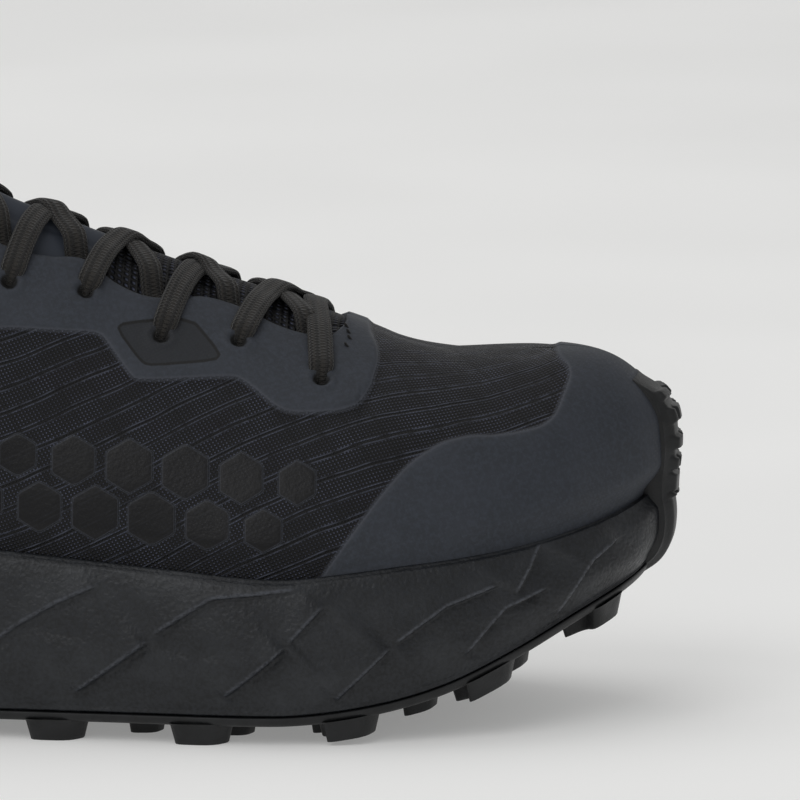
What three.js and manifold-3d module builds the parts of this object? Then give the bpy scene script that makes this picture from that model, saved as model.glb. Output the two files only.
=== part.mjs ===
// Trail running shoe, right foot, empty and standing on its lugs.
// Millimetres. +X points to the toe, -Y to the outer side of the foot, +Z up, floor at z = 0.
import * as THREE from 'three';
import Module from 'manifold-3d';
import { mergeVertices } from 'three/addons/utils/BufferGeometryUtils.js';

const wasm = await Module();
wasm.setup();

// Driving dimensions of the whole shoe
const soleLength = 291;        // foam sole, heel to toe
const ballWidth = 111;         // foam sole at its widest
const rimHeight = 42.2;        // top edge of the foam side above the floor, at the ball
const heelRimRise = 15;        // how much higher that edge is at the back of the heel
const toeRimRise = 16;         // and at the tip of the toe
const toeSpring = 33;          // rise of the outsole's underside at the tip of the toe
const heelBevel = 11;          // rise of the outsole's underside at the back of the heel
const instepHeight = 132.2;    // top of the instep, under the last visible lace
const toeBoxHeight = 92.2;     // top of the toe box
const collarHeight = 96.2;     // lowest part of the collar, under the ankle
const heelTabRise = 17;        // back of the collar above that
const throatWidth = 36;        // opening between the two sides of the lacing, at its widest

// Outsole
const lugHeight = 4.9;
const plateThickness = 2.5;
const edgeLugLength = 17;
const edgeLugDepth = 13;
const edgeLugPitch = 37.5;     // along the edge of the sole
const innerLugLength = 11;
const innerLugWidth = 13;
const innerLugPitch = 23;
const lugTaper = 0.82;         // foot of a lug as a share of its root
const lugRoot = 1.2;           // depth of a lug's root inside the plate
const edgeLugInset = 3.2;      // from the outline to an edge lug
const firstLugStep = 0.172;    // places of the first edge lug and the end of their row
const lastLugStep = 0.91;
const lugGap = 1;              // least distance between the edge lugs and the inner ones
const innerLugGap = 3;
const lugStagger = 4;          // how far every second inner lug of a row lies ahead
const guardThickness = 2.2;    // rubber toe guard
const guardColumns = 1.5;      // columns of the upper that it covers on each side of the tip

// Midsole
const cupDepth = 10;           // from the top edge down to the bed that the foot stands on
const rimWall = 2.8;           // foam wall around the bottom of the upper
const rimSetBack = 2.6;        // top edge of that wall inside the outline
const toeRimSetBack = 2;       // and at the tip of the toe
const scalePitch = 33;         // length of one overlapping scale of the side
const scaleStep = 1.7;         // depth of the step between two scales
const scaleLean = 0.07;        // forward lean of the scales, share of one side
const sideTuck = 5.2;          // how far the foot of the side lies inside the outline
const footInset = 9;           // edge of the flat underside inside the outline
const rimRound = 0.9;          // rounding of the top edge

// Upper, overlays, tongue, insole and lace
const upperWall = 2;
const sideSwell = 2;           // how far the upper swells out over the foam's top edge
const toeSwell = 5.4;
const swellRise = 9;           // height over which that swelling sets in
const swellEnd = 0.6;          // share of a rib's height from which it fades out up to the ridge
const overlayThickness = 1;
const tongueThickness = 5;
const tongueTuck = 0.2;        // how far it reaches under the eyestay, as a share of a rib
const tongueTopTuck = 0.12;    // and at its top end
const tongueTopStep = 0.365;   // its top and front ends along the outline
const tongueFrontStep = 0.69;
const insoleThickness = 4;
const laceWidth = 6;
const laceThickness = 1.6;
const laceCrowding = 0.75;     // steps of the outline per length of the sole, at the laces
const laceDive = 0.02;         // how far from the throat's edge a run stops, as a share of a rib
const eyeletPitch = 19.1;
// From the throat's edge to each eyelet, front to back, as shares of a rib
const eyeletSetbacks = [0.14, 0.11, 0.1, 0.085, 0.08, 0.08];
const eyeletDiameter = 5;
const clearance = 0.3;         // between neighbouring pieces
const insoleClearance = 0.7;
const laceClearance = 0.6;
const cupClearance = 0.45;     // between two curved walls that are faceted in different places
const tongueClearance = 0.95;

const frontEyelet = 0.693;     // place of the first eyelet along the sole, from the heel
const throatFront = 0.722;     // front end of the throat along the sole
const closedThroat = 0.1;      // a half width under this counts as closed
const ball = 0.665;            // place of the ball of the foot along the sole
const toeBox = 0.815;          // and of the toe box, from where the ridge is level
const nudge = 0.004;           // small part of a side, for directions along it

// Half of the foam sole's outline at even steps from the back of the heel (0) to the toe (1),
// as shares of the ball width. The steps crowd at both ends, where the outline is round.
const outlineTable = [
  { step: 0.0, outer: 0.0, inner: 0.0 },
  { step: 0.1, outer: 0.19, inner: 0.19 },
  { step: 0.2, outer: 0.315, inner: 0.3 },
  { step: 0.3, outer: 0.365, inner: 0.32 },
  { step: 0.4, outer: 0.385, inner: 0.3 },
  { step: 0.5, outer: 0.445, inner: 0.35 },
  { step: 0.6, outer: 0.505, inner: 0.465 },
  { step: 0.7, outer: 0.46, inner: 0.47 },
  { step: 0.8, outer: 0.345, inner: 0.385 },
  { step: 0.9, outer: 0.155, inner: 0.25 },
  { step: 1.0, outer: -0.05, inner: 0.05 },
];

// Side view of the sole along its length: rise of its underside and of its top edge,
// each as a share of the toe's value in front of the ball and of the heel's value behind it.
const soleTable = [
  { along: 0.0, under: 1.0, rim: 1.0 },
  { along: 0.03, under: 0.58, rim: 0.95 },
  { along: 0.065, under: 0.24, rim: 0.89 },
  { along: 0.11, under: 0.05, rim: 0.83 },
  { along: 0.15, under: 0.0, rim: 0.78 },
  { along: 0.3, under: 0.0, rim: 0.58 },
  { along: 0.43, under: 0.0, rim: 0.38 },
  { along: 0.58, under: 0.0, rim: 0.12 },
  { along: 0.665, under: 0.0, rim: 0.0 },
  { along: 0.71, under: 0.03, rim: 0.06 },
  { along: 0.77, under: 0.12, rim: 0.18 },
  { along: 0.815, under: 0.24, rim: 0.26 },
  { along: 0.87, under: 0.46, rim: 0.4 },
  { along: 0.92, under: 0.68, rim: 0.58 },
  { along: 0.96, under: 0.83, rim: 0.75 },
  { along: 1.0, under: 1.0, rim: 1.0 },
];

// Foam side from its foot (0) to its top edge (1): how far it lies inside the outline,
// as a share of the tuck of its foot.
const sideTable = [
  { up: 0.0, inset: 1.0 },
  { up: 0.12, inset: 0.42 },
  { up: 0.3, inset: 0.04 },
  { up: 0.5, inset: 0.0 },
  { up: 0.7, inset: 0.1 },
  { up: 0.88, inset: 0.27 },
  { up: 0.97, inset: 0.46 },
];

// Edge of the rubber plate from its underside (0) to its top (1), as shares of its thickness
// and of the foam foot's inset.
const plateTable = [
  { up: 0.0, inset: 0.89 },
  { up: 0.04, inset: 0.52 },
  { up: 0.3, inset: 0.38 },
  { up: 1.0, inset: 0.3 },
  { up: 1.0, inset: 0.89 },
];

// Ridge of the upper along the sole, as shares of the instep height, and its place to the inner side.
const crestTable = [
  { along: 0.0, height: 1.16, inward: 0.0 },
  { along: 0.3, height: 1.14, inward: -0.03 },
  { along: 0.36, height: 1.08, inward: -0.03 },
  { along: 0.43, height: 1.0, inward: -0.03 },
  { along: 0.47, height: 0.965, inward: -0.025 },
  { along: 0.53, height: 0.912, inward: -0.01 },
  { along: 0.6, height: 0.855, inward: 0.01 },
  { along: 0.64, height: 0.826, inward: 0.02 },
  { along: 0.69, height: 0.786, inward: 0.03 },
  { along: 0.73, height: 0.752, inward: 0.035 },
  { along: 0.77, height: 0.717, inward: 0.04 },
  { along: 0.815, height: 0.692, inward: 0.045 },
];

// Roundness of the upper's ribs by step on both sides: 2 is an ellipse, more is boxier.
const ribTable = [
  { step: 0.0, outer: 2.5, inner: 2.5 },
  { step: 0.2, outer: 2.4, inner: 2.5 },
  { step: 0.35, outer: 1.85, inner: 2.25 },
  { step: 0.5, outer: 1.65, inner: 2.0 },
  { step: 0.6, outer: 1.7, inner: 1.9 },
  { step: 0.7, outer: 2.05, inner: 2.15 },
  { step: 0.8, outer: 2.65, inner: 2.7 },
  { step: 0.9, outer: 3.9, inner: 3.9 },
  { step: 1.0, outer: 5.2, inner: 5.2 },
];

// Collar from the back of the heel forward, as a share of the heel tab's rise.
const collarTable = [
  { step: 0.0, rise: 1.0 },
  { step: 0.08, rise: 0.86 },
  { step: 0.2, rise: 0.24 },
  { step: 0.29, rise: 0.0 },
  { step: 0.35, rise: 0.35 },
  { step: 0.4, rise: 1.6 },
  { step: 0.44, rise: 3.4 },
];

// Half of the throat's opening along the sole, as shares of half its width.
// Its edge is scalloped, so that every second eyelet lies lower.
const throatTable = [
  { along: 0.3, half: 0.8 },
  { along: 0.36, half: 0.68 },
  { along: 0.43, half: 0.8 },
  { along: 0.465, half: 0.78 },
  { along: 0.495, half: 0.71 },
  { along: 0.522, half: 0.88 },
  { along: 0.548, half: 0.95 },
  { along: 0.57, half: 0.91 },
  { along: 0.6, half: 0.78 },
  { along: 0.63, half: 0.83 },
  { along: 0.66, half: 1.0 },
  { along: 0.685, half: 1.05 },
  { along: 0.7, half: 1.02 },
  { along: 0.71, half: 0.8 },
  { along: 0.718, half: 0.45 },
  { along: throatFront, half: 0.0 },
];

// Edges of the overlays seen from the side: place along the sole, and height as a share
// of the way from the sole's top edge (0) to the ridge (1).
const toeCapEdge = [
  { along: 0.703, up: 0.0 },
  { along: 0.736, up: 0.25 },
  { along: 0.768, up: 0.46 },
  { along: 0.79, up: 0.58 },
  { along: 0.81, up: 0.63 },
  { along: 0.85, up: 0.645 },
  { along: 0.89, up: 0.66 },
  { along: 0.905, up: 0.74 },
  { along: 0.913, up: 0.92 },
  { along: 0.904, up: 1.3 },
];
const eyestayEdge = [
  { along: 0.22, up: 0.5 },
  { along: 0.34, up: 0.58 },
  { along: 0.43, up: 0.66 },
  { along: 0.51, up: 0.715 },
  { along: 0.543, up: 0.615 },
  { along: 0.623, up: 0.68 },
  { along: 0.642, up: 0.66 },
  { along: 0.672, up: 0.62 },
  { along: 0.72, up: 0.7 },
  { along: 0.738, up: 0.76 },
  { along: 0.748, up: 0.9 },
  { along: 0.742, up: 1.3 },
];
const counterEdge = [
  { along: 0.29, up: 0.0 },
  { along: 0.27, up: 0.1 },
  { along: 0.18, up: 0.3 },
  { along: 0.1, up: 0.52 },
  { along: 0.04, up: 0.7 },
];

const sideSteps = 26;          // columns of the upper on each side of the foot
const ribRows = 8;

const heel = -soleLength / 2;
const smooth = THREE.MathUtils.smoothstep;
const mix = THREE.MathUtils.lerp;

// A smooth curve through one column of a table.
function curve(table, key, column) {
  const keys = new Float32Array(table.map((row) => row[key]));
  const values = new Float32Array(table.map((row) => row[column]));
  const interpolant = new THREE.CubicInterpolant(keys, values, 1);
  return (at) => interpolant.evaluate(THREE.MathUtils.clamp(at, keys[0], keys[keys.length - 1]))[0];
}

const outerHalf = curve(outlineTable, 'step', 'outer');
const innerHalf = curve(outlineTable, 'step', 'inner');
const underShare = curve(soleTable, 'along', 'under');
const rimShare = curve(soleTable, 'along', 'rim');
const sideInset = curve(sideTable, 'up', 'inset');
const crestShare = curve(crestTable, 'along', 'height');
const crestInward = curve(crestTable, 'along', 'inward');
const outerBox = curve(ribTable, 'step', 'outer');
const innerBox = curve(ribTable, 'step', 'inner');
const collarShare = curve(collarTable, 'step', 'rise');
const throatShare = curve(throatTable, 'along', 'half');

const alongOf = (x) => THREE.MathUtils.clamp((x - heel) / soleLength, 0, 1);
const xOf = (along) => heel + along * soleLength;

// The loop runs from the heel (0) along the outer side to the toe (1) and back to the heel (2).
const stepOf = (loop) => 1 - Math.abs(1 - (((loop % 2) + 2) % 2));
function outlinePoint(loop) {
  const turn = ((loop % 2) + 2) % 2;
  const step = stepOf(loop);
  const y = turn <= 1 ? -outerHalf(step) : innerHalf(step);
  return new THREE.Vector2(-Math.cos(Math.PI * turn) * soleLength / 2, y * ballWidth);
}
function insetPoint(loop, inset) {
  const tangent = outlinePoint(loop + nudge).sub(outlinePoint(loop - nudge)).normalize();
  return outlinePoint(loop).add(new THREE.Vector2(-tangent.y, tangent.x).multiplyScalar(inset));
}

// Heights along the sole
function underside(x) {
  const along = alongOf(x);
  return lugHeight + Math.max(0, underShare(along)) * (along < 0.5 ? heelBevel : toeSpring);
}
function rimTop(x) {
  const along = alongOf(x);
  return rimHeight + rimShare(along) * (along < ball ? heelRimRise : toeRimRise);
}
const bed = (x) => rimTop(x) - cupDepth;

const ribBox = (loop) => (loop % 2 <= 1 ? outerBox : innerBox)(stepOf(loop));

// How far the wall of the foam cup and the upper in it lie inside the outline.
const toeShare = (loop) => smooth(stepOf(loop), 0.84, 0.97);
const rimInset = (loop) => mix(rimSetBack, toeRimSetBack, toeShare(loop));
const upperInset = (loop) => rimInset(loop) + rimWall + cupClearance;

// Ridge of the upper that the ribs of one step lead to.
const toePull = 0.13 * soleLength;
const heelPull = 0.27 * soleLength;
function crestPoint(loop) {
  const step = stepOf(loop);
  const bottom = insetPoint(step, upperInset(step)).x;
  const pull = toePull * smooth(step, 0.55, 1) - heelPull * (1 - smooth(step, 0, 0.35));
  const x = bottom - pull;
  const along = alongOf(x);
  const toeHeight = toeBoxHeight / instepHeight;
  const height = along > toeBox ? toeHeight : Math.max(crestShare(along), toeHeight);
  return new THREE.Vector3(x, crestInward(along) * ballWidth, height * instepHeight);
}

// Step of the outline whose rib leads to the ridge at a place along the sole.
function stepOfCrest(x) {
  let [low, high] = [0.36, 0.8];
  for (let k = 0; k < 30; k += 1) {
    const middle = (low + high) / 2;
    if (crestPoint(middle).x < x) low = middle;
    else high = middle;
  }
  return low;
}

// A point of the upper's outside: share 0 is at the bed of the sole and 1 at the ridge.
function ribPoint(loop, share) {
  const foot = insetPoint(loop, upperInset(loop));
  const crest = crestPoint(loop);
  if (share >= 1) return crest;
  const power = 2 / ribBox(loop);
  const angle = share * Math.PI / 2;
  const out = Math.cos(angle) ** power;
  const up = Math.sin(angle) ** power;
  const height = mix(bed(foot.x) + cupClearance, crest.z, up);
  const overhang = smooth(height - rimTop(foot.x), 0, swellRise) * (1 - smooth(up, swellEnd, 1));
  const swell = mix(sideSwell, toeSwell, toeShare(loop)) * overhang;
  const side = new THREE.Vector2(foot.x - crest.x, foot.y - crest.y);
  const reach = side.length() * out + swell;
  side.normalize().multiplyScalar(reach);
  return new THREE.Vector3(crest.x + side.x, crest.y + side.y, height);
}

// Share of a rib at which it reaches a height.
function shareAt(loop, height) {
  const low = bed(insetPoint(loop, upperInset(loop)).x) + cupClearance;
  const up = THREE.MathUtils.clamp((height - low) / (crestPoint(loop).z - low), 0, 1);
  return Math.asin(up ** (ribBox(loop) / 2)) / (Math.PI / 2);
}

// Share of a rib at which the throat opens, and at which the upper itself ends.
function throatEnd(loop) {
  const foot = insetPoint(loop, upperInset(loop));
  const crest = crestPoint(loop);
  const half = throatShare(alongOf(crest.x)) * throatWidth / 2;
  const spread = Math.hypot(foot.x - crest.x, foot.y - crest.y);
  if (half < closedThroat) return 1;
  return Math.acos(Math.min(1, half / spread) ** (ribBox(loop) / 2)) / (Math.PI / 2);
}
function edgeShare(loop) {
  const step = stepOf(loop);
  if (step > 0.44) return throatEnd(loop);
  return Math.min(throatEnd(loop), shareAt(loop, collarHeight + collarShare(step) * heelTabRise));
}

// Row 0 of a rib is on the bed, row 1 at the foam's top edge and the last one at the rib's end.
function rowPoint(loop, row) {
  const rim = shareAt(loop, rimTop(insetPoint(loop, upperInset(loop)).x));
  const share = row < 1 ? row * rim : mix(rim, edgeShare(loop), ((row - 1) / (ribRows - 1)) ** 1.15);
  return ribPoint(loop, share);
}

// Triangles from quads of a grid of points, with points that coincide made one.
function sheet(grid, closed) {
  const corners = [];
  const columns = closed ? grid.length : grid.length - 1;
  for (let i = 0; i < columns; i += 1) {
    const here = grid[i];
    const next = grid[(i + 1) % grid.length];
    for (let j = 0; j < here.length - 1; j += 1) {
      corners.push(here[j], next[j], next[j + 1], here[j], next[j + 1], here[j + 1]);
    }
  }
  return joined(corners);
}
function joined(corners) {
  const geometry = new THREE.BufferGeometry().setFromPoints(corners);
  const merged = mergeVertices(geometry, 2e-3);
  const index = [];
  for (let k = 0; k < merged.index.count; k += 3) {
    const [a, b, c] = [0, 1, 2].map((corner) => merged.index.getX(k + corner));
    if (a !== b && b !== c && c !== a) index.push(a, b, c);
  }
  merged.setIndex(index);
  return merged;
}

// A wall between two distances outside a sheet, along the sheet's own normals.
function wall(surface, inside, outside) {
  const base = surface.clone();
  base.computeVertexNormals();
  const place = base.getAttribute('position');
  const normal = base.getAttribute('normal');
  const points = [];
  for (const distance of [outside, inside]) {
    for (let k = 0; k < place.count; k += 1) {
      const point = new THREE.Vector3().fromBufferAttribute(place, k);
      points.push(point.addScaledVector(new THREE.Vector3().fromBufferAttribute(normal, k), distance));
    }
  }
  const index = Array.from(base.index.array);
  const edges = new Map();
  for (let k = 0; k < index.length; k += 3) {
    for (const [a, b] of [[0, 1], [1, 2], [2, 0]]) {
      edges.set(`${index[k + a]},${index[k + b]}`, [index[k + a], index[k + b]]);
    }
  }
  const shift = place.count;
  const all = [...index];
  for (let k = 0; k < index.length; k += 3) {
    all.push(index[k] + shift, index[k + 2] + shift, index[k + 1] + shift);
  }
  for (const [a, b] of edges.values()) {
    if (!edges.has(`${b},${a}`)) all.push(b, a, a + shift, b, a + shift, b + shift);
  }
  const geometry = new THREE.BufferGeometry().setFromPoints(points);
  geometry.setIndex(all);
  return geometry;
}

// A closed body from a stack of loops, with both ends closed by cross strips.
function stack(loops) {
  const corners = [];
  const count = loops[0].length;
  for (let r = 0; r < loops.length - 1; r += 1) {
    for (let i = 0; i < count; i += 1) {
      const j = (i + 1) % count;
      const [a, b, c, d] = [loops[r][i], loops[r][j], loops[r + 1][j], loops[r + 1][i]];
      corners.push(a, b, c, a, c, d);
    }
  }
  const half = count / 2;
  const cap = (ring, flip) => {
    for (let i = 0; i < half; i += 1) {
      const [a, b] = [ring[i], ring[i + 1]];
      const [c, d] = [ring[(count - i - 1) % count], ring[(count - i) % count]];
      const faces = [[a, c, b], [a, d, c]];
      for (const face of faces) corners.push(...(flip ? face.reverse() : face));
    }
  };
  cap(loops[0], false);
  cap(loops[loops.length - 1], true);
  return joined(corners);
}

const solid = (geometry) => {
  const merged = mergeVertices(geometry.clone(), 1e-4);
  const vertProperties = new Float32Array(merged.getAttribute('position').array);
  const triVerts = new Uint32Array(merged.index.array);
  return new wasm.Manifold(new wasm.Mesh({ numProp: 3, vertProperties, triVerts }));
};
function bare(geometry) {
  const copy = geometry.clone();
  copy.deleteAttribute('normal');
  copy.deleteAttribute('uv');
  return copy;
}
function faceted(body) {
  const mesh = body.getMesh();
  const geometry = new THREE.BufferGeometry();
  geometry.setAttribute('position', new THREE.BufferAttribute(mesh.vertProperties, 3));
  geometry.setIndex(new THREE.BufferAttribute(mesh.triVerts, 1));
  return geometry;
}

// Upper: one hollow wall from the bed of the sole to the collar and the throat.
// One column of it runs to the front end of the throat.
const loopSteps = [];
const frontStep = stepOfCrest(xOf(throatFront));
for (let i = 0; i < 2 * sideSteps; i += 1) {
  const loop = i / sideSteps;
  const isFront = Math.abs(stepOf(loop) - frontStep) <= 0.5 / sideSteps;
  if (isFront) loopSteps.push(loop < 1 ? frontStep : 2 - frontStep);
  else loopSteps.push(loop);
}
const upperSheet = sheet(loopSteps.map((loop) => {
  const rib = [];
  for (let row = 0; row <= ribRows; row += 1) rib.push(rowPoint(loop, row));
  return rib;
}), true);

// Distance from the foam and the upper out to the guard, which also clears the toe cap.
const guardSetOff = overlayThickness + 2 * clearance;
const guardRoot = 7;

// How far the foam's plain side lies inside the outline. At the tip its foot gives way to the guard.
const guardRoom = 1.2;
const foamInset = (loop, up) => (
  sideInset(up) * sideTuck + (rimInset(loop) - rimSetBack) * up + guardRoom * (1 - up) * toeShare(loop)
);

// Foam midsole: a cup with overlapping scales along its side.
const scales = Math.round(soleLength / scalePitch);
const scaleColumns = [0, 0.33, 0.66, 0.97];
function midsole() {
  const steps = [];
  for (let scale = 0; scale < scales; scale += 1) {
    for (const part of scaleColumns) steps.push({ step: (scale + part) / scales, part });
  }
  const around = [...steps, { step: 1, part: 0 }];
  for (const { step, part } of steps.slice(1).reverse()) around.push({ step: 2 - step, part });
  const place = ({ step, part }, up, inset, height) => {
    const fade = Math.sin(Math.PI * stepOf(step)) ** 0.6;
    const shift = (up - 0.5) * scaleLean * fade * (step > 1 ? -1 : 1);
    const lean = step + shift;
    const relief = scaleStep * part * fade * Math.sin(Math.PI * Math.min(1, up * 1.04));
    const point = insetPoint(lean, inset(lean) + relief);
    return new THREE.Vector3(point.x, point.y, height(point.x));
  };
  const foot = (x) => underside(x) + plateThickness + clearance;
  const at = (up) => (x) => mix(foot(x), rimTop(x), up);
  const loops = [around.map((column) => place(column, 0, () => footInset, foot))];
  for (const { up } of sideTable) {
    loops.push(around.map((column) => place(column, up, (loop) => foamInset(loop, up), at(up))));
  }
  loops.push(around.map((column) => place(column, 1, (loop) => rimInset(loop) + rimRound, at(1))));
  const inner = (loop) => rimInset(loop) + rimWall;
  loops.push(around.map((column) => place({ ...column, part: 0 }, 1, inner, at(1))));
  loops.push(around.map((column) => place({ ...column, part: 0 }, 1, inner, bed)));
  return stack(loops);
}

// Rubber plate under the foam, its lugs and the guard over the toe.
const plateSteps = 24;
function plate() {
  const around = [];
  for (let i = 0; i < 2 * plateSteps; i += 1) around.push(i / plateSteps);
  const ring = (inset, lift) => around.map((loop) => {
    const point = insetPoint(loop, inset);
    return new THREE.Vector3(point.x, point.y, underside(point.x) + lift);
  });
  return stack(plateTable.map(({ up, inset }) => ring(inset * footInset, up * plateThickness)));
}
function lug(x, y, length, width, turn) {
  const shape = new THREE.Shape();
  const [a, b] = [length / 2, width / 2];
  shape.moveTo(a, 0);
  shape.lineTo(a * 0.45, b);
  shape.lineTo(-a, b);
  shape.lineTo(-a * 0.55, 0);
  shape.lineTo(-a, -b);
  shape.lineTo(a * 0.45, -b);
  shape.closePath();
  const height = lugHeight + lugRoot;
  const geometry = bare(new THREE.ExtrudeGeometry(shape, { depth: height, bevelEnabled: false }));
  const place = geometry.getAttribute('position');
  for (let k = 0; k < place.count; k += 1) {
    const share = place.getZ(k) < height / 2 ? lugTaper : 1;
    place.setXYZ(k, place.getX(k) * share, place.getY(k) * share, place.getZ(k) - lugHeight);
  }
  geometry.rotateZ(turn);
  geometry.translate(x, y, 0);
  for (let k = 0; k < place.count; k += 1) place.setZ(k, place.getZ(k) + underside(place.getX(k)));
  return solid(geometry);
}
// Places of the edge lugs, an even pitch apart along the outer edge and across from each other.
function edgeLugSteps(inset) {
  const steps = [];
  let last = insetPoint(firstLugStep, inset);
  let length = 0;
  for (let step = firstLugStep; step < lastLugStep; step += nudge) {
    const point = insetPoint(step, inset);
    length += Math.hypot(point.x - last.x, point.y - last.y, underside(point.x) - underside(last.x));
    last = point;
    if (length >= steps.length * edgeLugPitch) steps.push(step);
  }
  return steps;
}
function lugs() {
  const bodies = [];
  const edgeInset = edgeLugInset + edgeLugDepth / 2;
  for (const step of edgeLugSteps(edgeInset)) {
    for (const side of [step, 2 - step]) {
      const point = insetPoint(side, edgeInset);
      const next = insetPoint(side + nudge, edgeInset);
      const heading = Math.atan2(next.y - point.y, next.x - point.x) + (side > 1 ? Math.PI : 0);
      bodies.push(lug(point.x, point.y, edgeLugLength, edgeLugDepth, heading));
    }
  }
  const inside = edgeLugInset + edgeLugDepth + lugGap + innerLugWidth / 2;
  for (let x = xOf(0.075); x < xOf(0.94); x += innerLugPitch) {
    const loop = Math.acos(THREE.MathUtils.clamp(-2 * x / soleLength, -1, 1)) / Math.PI;
    const outer = insetPoint(loop, inside).y;
    const inner = insetPoint(2 - loop, inside).y;
    const spread = inner - outer;
    const count = Math.max(0, Math.floor(spread / (innerLugWidth + innerLugGap)) + 1);
    for (let k = 0; k < count; k += 1) {
      const y = count === 1 ? (outer + inner) / 2 : outer + spread * k / (count - 1);
      if (spread >= 0) bodies.push(lug(x + (k % 2) * lugStagger, y, innerLugLength, innerLugWidth, 0));
    }
  }
  return bodies;
}
function toeGuard() {
  const grid = [];
  const foot = (x) => underside(x) + plateThickness + clearance;
  for (let i = -2 * guardColumns; i <= 2 * guardColumns; i += 1) {
    const loop = 1 + i / (2 * sideSteps);
    const low = insetPoint(loop, guardRoot);
    const points = [new THREE.Vector3(low.x, low.y, foot(low.x) + guardSetOff - clearance)];
    for (const up of [0.14, 0.3, 0.5, 0.7, 0.88]) {
      const point = insetPoint(loop, foamInset(loop, up));
      points.push(new THREE.Vector3(point.x, point.y, mix(foot(point.x), rimTop(point.x), up)));
    }
    for (const row of [2, 2.4, 2.8, 3.2, 3.6, 4, 4.5]) points.push(rowPoint(loop, row));
    grid.push(points);
  }
  const shield = solid(wall(sheet(grid), guardSetOff, guardSetOff + guardThickness));
  return shield.subtract(solid(wall(upperSheet, -upperWall, guardSetOff)));
}
function outsole() {
  let body = solid(plate());
  for (const piece of lugs()) body = body.add(piece);
  return faceted(body.add(toeGuard()));
}

// Lower edge of an overlay, just above the foam's top edge.
function alongRim(from, to) {
  const points = [];
  const count = 10;
  for (let i = 0; i <= count; i += 1) points.push({ along: mix(from, to, i / count), up: 0 });
  return points;
}

// An overlay is cut out of a second skin just outside the upper, by an outline seen from the side.
const skin = solid(wall(upperSheet, clearance, clearance + overlayThickness));
function sideCut(edge, corners) {
  const shape = new THREE.Shape();
  const height = (along, up) => {
    const x = xOf(along);
    const ridge = Math.max(crestShare(along) * instepHeight, toeBoxHeight);
    return mix(rimTop(x) + cupClearance, along > toeBox ? toeBoxHeight : ridge, up);
  };
  [...edge, ...corners].forEach(({ along, up }, k) => {
    const point = [xOf(along), height(Math.min(1, Math.max(0, along)), up)];
    if (k === 0) shape.moveTo(...point);
    else shape.lineTo(...point);
  });
  shape.closePath();
  const depth = 2 * ballWidth;
  const block = bare(new THREE.ExtrudeGeometry(shape, { depth, bevelEnabled: false }));
  block.rotateX(Math.PI / 2);
  block.translate(0, depth / 2, 0);
  return solid(block);
}
function toeCap() {
  const front = [{ along: 1.1, up: 1.3 }, ...alongRim(1.02, 0.71)];
  return faceted(skin.intersect(sideCut(toeCapEdge, front)));
}
function eyestay() {
  const back = [{ along: 0.22, up: 1.7 }];
  return faceted(pierced(skin.intersect(sideCut(eyestayEdge, back))));
}
function heelCounter() {
  const back = [{ along: -0.1, up: 0.75 }, ...alongRim(-0.02, 0.28)];
  return faceted(skin.intersect(sideCut(counterEdge, back)));
}

// The tongue follows the instep's surface from under one row of eyelets to under the other.
function tongue() {
  const grid = [];
  const rows = 12;
  const half = 4;
  for (let i = 0; i <= rows; i += 1) {
    const step = mix(tongueTopStep, tongueFrontStep, i / rows);
    const line = [];
    for (let j = -half; j <= half; j += 1) {
      const loop = j < 0 ? step : 2 - step;
      const tuck = throatEnd(loop) - (i === 0 ? tongueTopTuck : tongueTuck);
      line.push(ribPoint(loop, mix(1, tuck, Math.abs(j) / half)));
    }
    grid.push(line);
  }
  const top = -upperWall - tongueClearance;
  const pad = solid(wall(sheet(grid), top - tongueThickness, top));
  const shell = solid(wall(upperSheet, -upperWall, 0));
  const cover = solid(wall(upperSheet, -upperWall - clearance, overlayThickness));
  return faceted(pad.subtract(cover).subtract(shell).subtract(shell.translate([0, 0, -clearance])));
}
function insole() {
  const around = [];
  for (let i = 0; i < 2 * sideSteps; i += 1) around.push(i / sideSteps);
  const ring = (lift) => around.map((loop) => {
    const point = insetPoint(loop, upperInset(loop) + upperWall + insoleClearance);
    return new THREE.Vector3(point.x, point.y, bed(point.x) + cupClearance + lift);
  });
  return stack([ring(0), ring(insoleThickness)]);
}

// Rows of eyelets
const eyeletStep = (row) => stepOfCrest(xOf(frontEyelet) - row * eyeletPitch);
const eyeletShare = (loop, row) => throatEnd(loop) - eyeletSetbacks[row];

function eyeletCuts() {
  const cuts = [];
  for (let row = 0; row < eyeletSetbacks.length; row += 1) {
    for (const loop of [eyeletStep(row), 2 - eyeletStep(row)]) {
      const share = eyeletShare(loop, row);
      const middle = ribPoint(loop, share);
      const along = ribPoint(loop + nudge, share).sub(middle);
      const up = ribPoint(loop, share + 0.01).sub(middle);
      const normal = along.cross(up).normalize();
      const reach = 4 * (upperWall + overlayThickness);
      const cut = bare(new THREE.CylinderGeometry(eyeletDiameter / 2, eyeletDiameter / 2, reach, 8));
      const turn = new THREE.Quaternion().setFromUnitVectors(new THREE.Vector3(0, 1, 0), normal);
      cut.applyQuaternion(turn);
      cut.translate(middle.x, middle.y, middle.z);
      cuts.push(solid(cut));
    }
  }
  return cuts;
}
const holes = eyeletCuts();
const pierced = (body) => holes.reduce((rest, hole) => rest.subtract(hole), body);

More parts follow.
